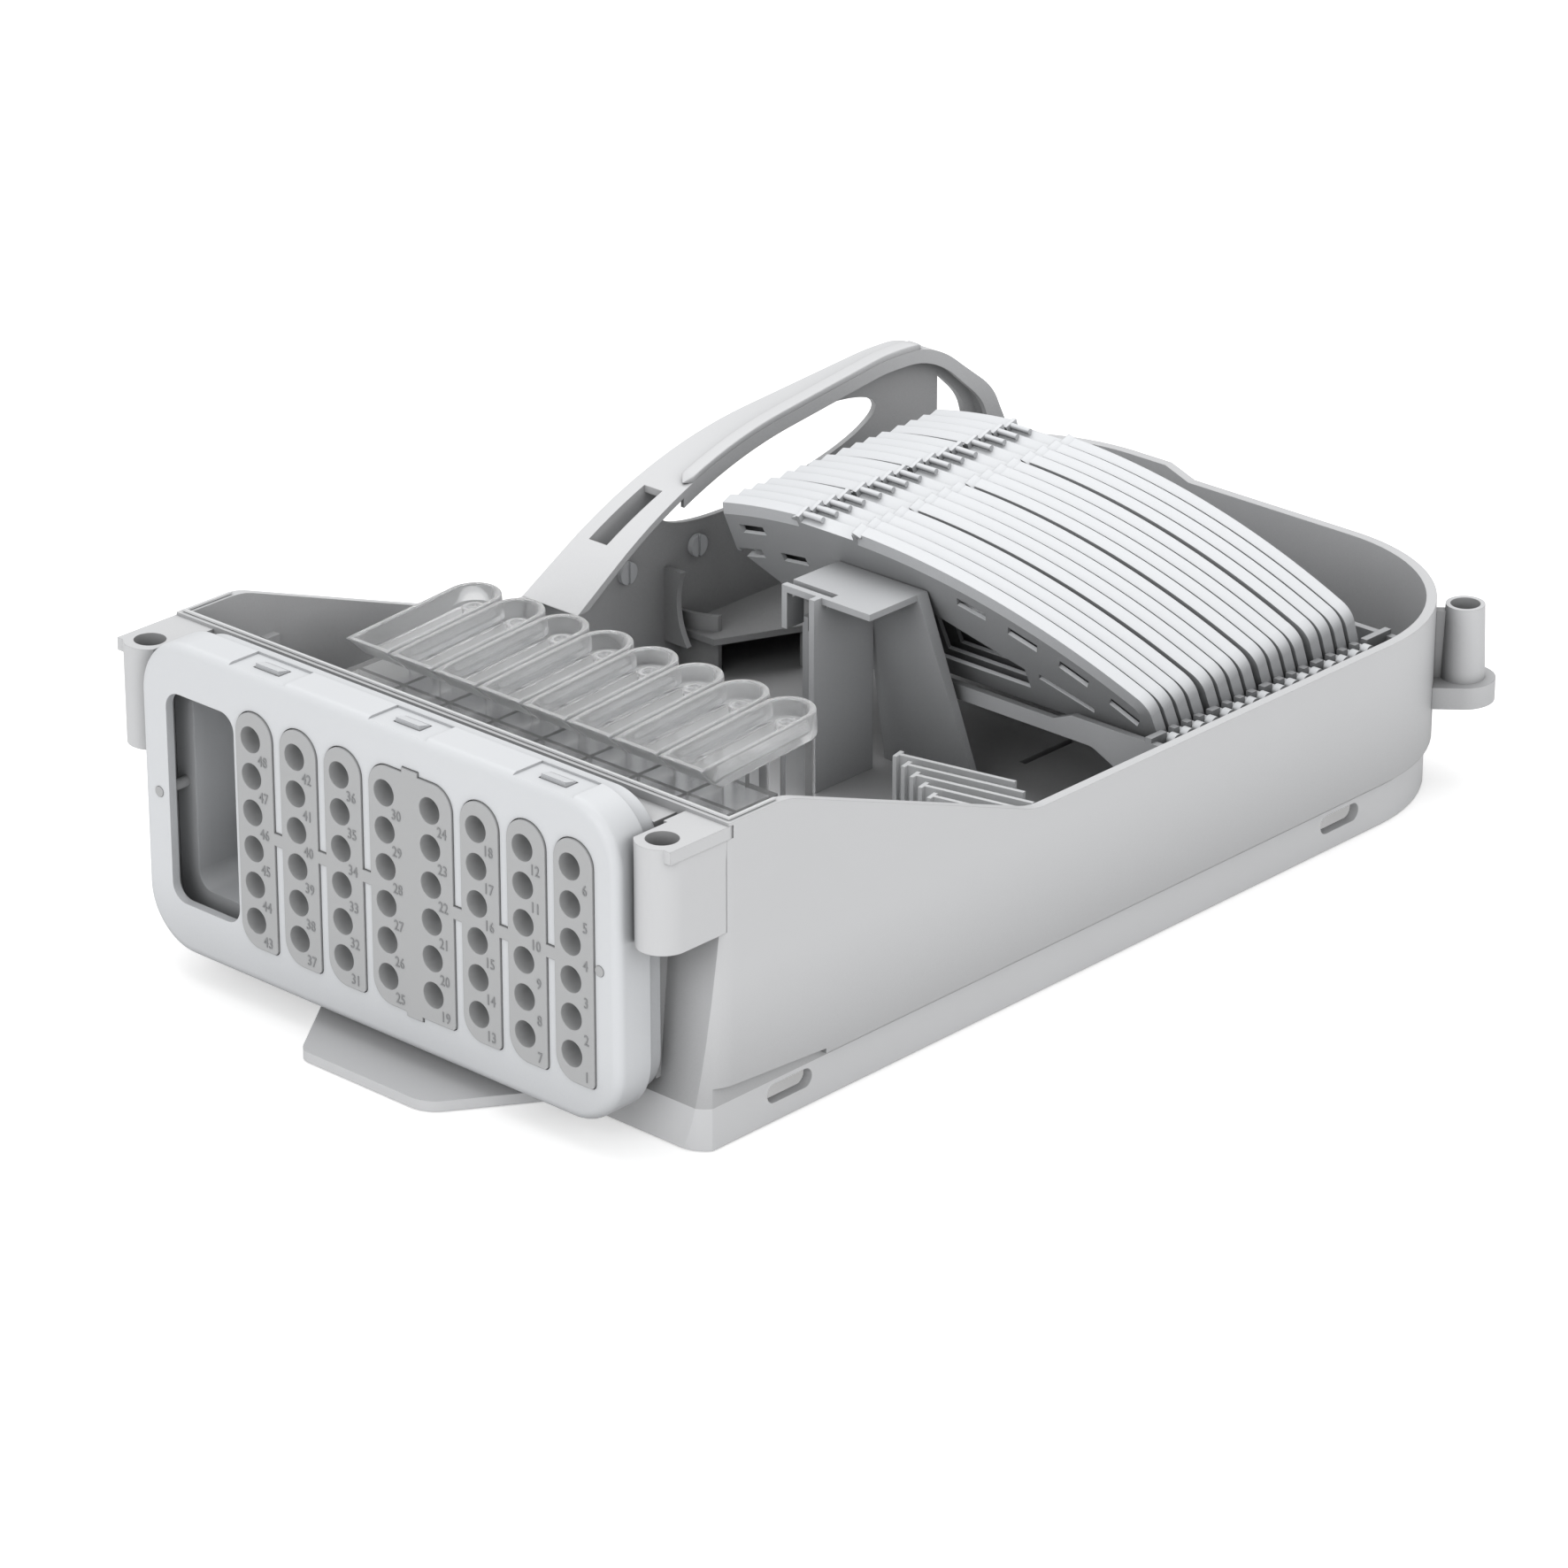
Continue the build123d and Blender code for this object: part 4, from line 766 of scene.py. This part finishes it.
class SPLICE_OT_inner(bpy.types.Operator):
    """Grey prop, comb and tray carrier"""

    bl_idname = "splice.inner"
    bl_label = "Prop, comb and carrier"

    def execute(self, context):
        shades, sizes, _ = settings()
        soft = sizes.edge_round
        # Painted shade darkens the hollows of the prop, the carrier and the comb.
        grey = moulded("inner_grey", shades.inner, soft=soft, recess=0.75)
        # Painted shade: the carrier takes the inner grey made darker, for the shade of the gap
        # between the trays' ends and the wall.
        carrier_shaded = moulded(
            "carrier_grey", toned(shades.inner, 0.8), soft=soft, recess=0.8, recess_size=0.03
        )
        pale = moulded("comb_pale", shades.comb, soft=soft, recess=0.4, recess_size=0.01)
        dress(["tray_prop"], grey)
        dress(["tray_carrier"], carrier_shaded)
        dress(["fibre_comb"], pale)
        return {"FINISHED"}


class SPLICE_OT_clear(bpy.types.Operator):
    """Clear cable cups and the clear rack that holds them"""

    bl_idname = "splice.clear"
    bl_label = "Clear cups and rack"

    def execute(self, context):
        shades, sizes, _ = settings()
        clear = clear_plastic("cup_clear", shades.clear, rough=0.05, clear=0.9, frost=0.55)
        rack = clear_plastic("rack_clear", shades.clear, rough=0.05, clear=0.93, frost=0.15)
        dress(["cup_rack"], rack)
        for name in nodes_like("cable_cup"):
            dress([name], clear)
            cup = add_piece(f"{name}_shape", cup_mesh(name, sizes), clear)
            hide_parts(name)
        return {"FINISHED"}


class SPLICE_OT_numbers(bpy.types.Operator):
    """Port numbers 1 to 48, raised on the soft pads below and right of each port"""

    bl_idname = "splice.numbers"
    bl_label = "Port numbers"

    def execute(self, context):
        shades, sizes, _ = settings()
        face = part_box("port_seal")[0].y
        # Painted shade: the raised numbers take a darker grey than the seal, for the shade round
        # their relief.
        material = moulded("number_grey", shades.mark, grain=900.0, low=0.6, high=0.75)
        top = sizes.port_mid_z + (sizes.port_rows - 1) / 2 * sizes.port_pitch_z
        first = sizes.number_offset - sizes.port_first_x
        numbers = []
        for column in range(sizes.port_columns):
            across = first + column * sizes.port_pitch_x
            for row in range(sizes.port_rows):
                number = (sizes.port_columns - column) * sizes.port_rows - row
                up = top - (row + 0.5) * sizes.port_pitch_z
                numbers.append(number_mesh(number, across, up, face, sizes))
        mesh = joined("port_numbers", numbers, rounded=False)
        add_piece("port_numbers", mesh, material)
        return {"FINISHED"}


class SPLICE_OT_stage(bpy.types.Operator):
    """Floor, lamps, sky and camera of the studio"""

    bl_idname = "splice.stage"
    bl_label = "Studio"

    def execute(self, context):
        shades, _, studio = settings()
        self.floor(shades, studio)
        for name, place, aim, size, power in LAMPS:
            self.lamp(name, place, aim, size, getattr(studio, power))
        self.sky(studio)
        self.camera(studio)
        bpy.context.scene.view_settings.view_transform = "Standard"
        return {"FINISHED"}

    def floor(self, shades, studio):
        """A flat square grid at the part's foot, which glows a little for the camera alone."""
        half = studio.floor_size / 2
        side = np.linspace(-half, half, FLOOR_POINTS)
        x, y = np.meshgrid(side, side)
        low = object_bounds()[0][2] - FLOOR_DROP
        mesh = grid_mesh("studio_floor", np.stack([x, y, np.full_like(x, low)], axis=-1))
        floor = bpy.data.objects.new("studio_floor", mesh)
        bpy.context.scene.collection.objects.link(floor)
        material, tree = fresh_material("studio_floor")
        matt = node(
            tree, "ShaderNodeBsdfPrincipled", (0, 0), Roughness=0.9,
            Base_Color=(*shades.floor, 1.0),
        ).outputs[0]
        glow = node(tree, "ShaderNodeEmission", (0, 300), Strength=studio.floor_glow).outputs[0]
        path = node(tree, "ShaderNodeLightPath", (-300, 300))
        both = fed(tree, node(tree, "ShaderNodeAddShader", (250, 100)), matt, glow)
        mix = node(tree, "ShaderNodeMixShader", (450, 0))
        seen = fed(tree, mix, path.outputs["Is Camera Ray"], matt, both)
        node(tree, "ShaderNodeOutputMaterial", (650, 0), Surface=seen)
        mesh.materials.append(material)
        floor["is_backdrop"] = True

    def lamp(self, name, place, aim, size, watts):
        """A rectangular area lamp that faces a point."""
        light = bpy.data.lights.new(name, "AREA")
        light.shape = "RECTANGLE"
        light.size, light.size_y = size
        light.energy = watts
        lamp = bpy.data.objects.new(name, light)
        lamp.location = place
        lamp.rotation_euler = (Vector(aim) - Vector(place)).to_track_quat("-Z", "Y").to_euler()
        bpy.context.scene.collection.objects.link(lamp)

    def sky(self, studio):
        """Even pale light all round, which the camera and clear parts see as white."""
        world = bpy.data.worlds.new("studio_sky")
        world.use_nodes = True
        tree = world.node_tree
        tree.nodes.clear()
        path = node(tree, "ShaderNodeLightPath", (-600, 200)).outputs
        seen = maths(
            tree, (-400, 200), "MAXIMUM", path["Is Camera Ray"], path["Is Transmission Ray"]
        )
        strength = node(
            tree, "ShaderNodeMapRange", (-200, 200), Value=seen, To_Min=studio.sky, To_Max=1.0
        )
        back = node(
            tree, "ShaderNodeBackground", (0, 0), Color=(1.0, 1.0, 1.0, 1.0),
            Strength=strength.outputs["Result"],
        )
        node(tree, "ShaderNodeOutputWorld", (250, 0), Surface=back.outputs[0])
        bpy.context.scene.world = world

    def camera(self, studio):
        """The camera at the photograph's viewing angle."""
        data = bpy.data.cameras.new("studio_camera")
        data.lens = studio.camera_lens
        data.sensor_width = CAMERA_SENSOR
        data.clip_end = CAMERA_REACH
        camera = bpy.data.objects.new("studio_camera", data)
        camera.location = CAMERA_PLACE
        camera.rotation_euler = [math.radians(angle) for angle in CAMERA_TURN]
        bpy.context.scene.collection.objects.link(camera)
        bpy.context.scene.camera = camera


OPERATORS = (
    SPLICE_OT_housing,
    SPLICE_OT_cable_block,
    SPLICE_OT_trays,
    SPLICE_OT_inner,
    SPLICE_OT_clear,
    SPLICE_OT_numbers,
    SPLICE_OT_stage,
)


class SPLICE_PT_panel(bpy.types.Panel):
    """Lists the steps that dress the splice enclosure."""

    bl_label = "Fibre splice enclosure"
    bl_idname = "SPLICE_PT_panel"
    bl_space_type = "VIEW_3D"
    bl_region_type = "UI"
    bl_category = "Splice"

    def draw(self, context):
        for group in settings():
            box = self.layout.box()
            for key in group.__annotations__:
                box.prop(group, key)
        for operator in OPERATORS:
            self.layout.operator(operator.bl_idname)


GROUPS = (
    ("splice_shades", SpliceShades),
    ("splice_sizes", SpliceSizes),
    ("splice_studio", SpliceStudio),
)


def register():
    """Registers the settings, the steps and the panel."""
    for name, group in GROUPS:
        bpy.utils.register_class(group)
        setattr(bpy.types.Scene, name, PointerProperty(type=group))
    for operator in OPERATORS:
        bpy.utils.register_class(operator)
    bpy.utils.register_class(SPLICE_PT_panel)


def unregister():
    """Takes the panel, the steps and the settings away again."""
    bpy.utils.unregister_class(SPLICE_PT_panel)
    for operator in reversed(OPERATORS):
        bpy.utils.unregister_class(operator)
    for name, group in reversed(GROUPS):
        delattr(bpy.types.Scene, name)
        bpy.utils.unregister_class(group)


def main():
    """Registers the add-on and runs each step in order."""
    register()
    bpy.ops.splice.housing()
    bpy.ops.splice.cable_block()
    bpy.ops.splice.trays()
    bpy.ops.splice.inner()
    bpy.ops.splice.clear()
    bpy.ops.splice.numbers()
    bpy.ops.splice.stage()


if __name__ == "__main__":
    main()
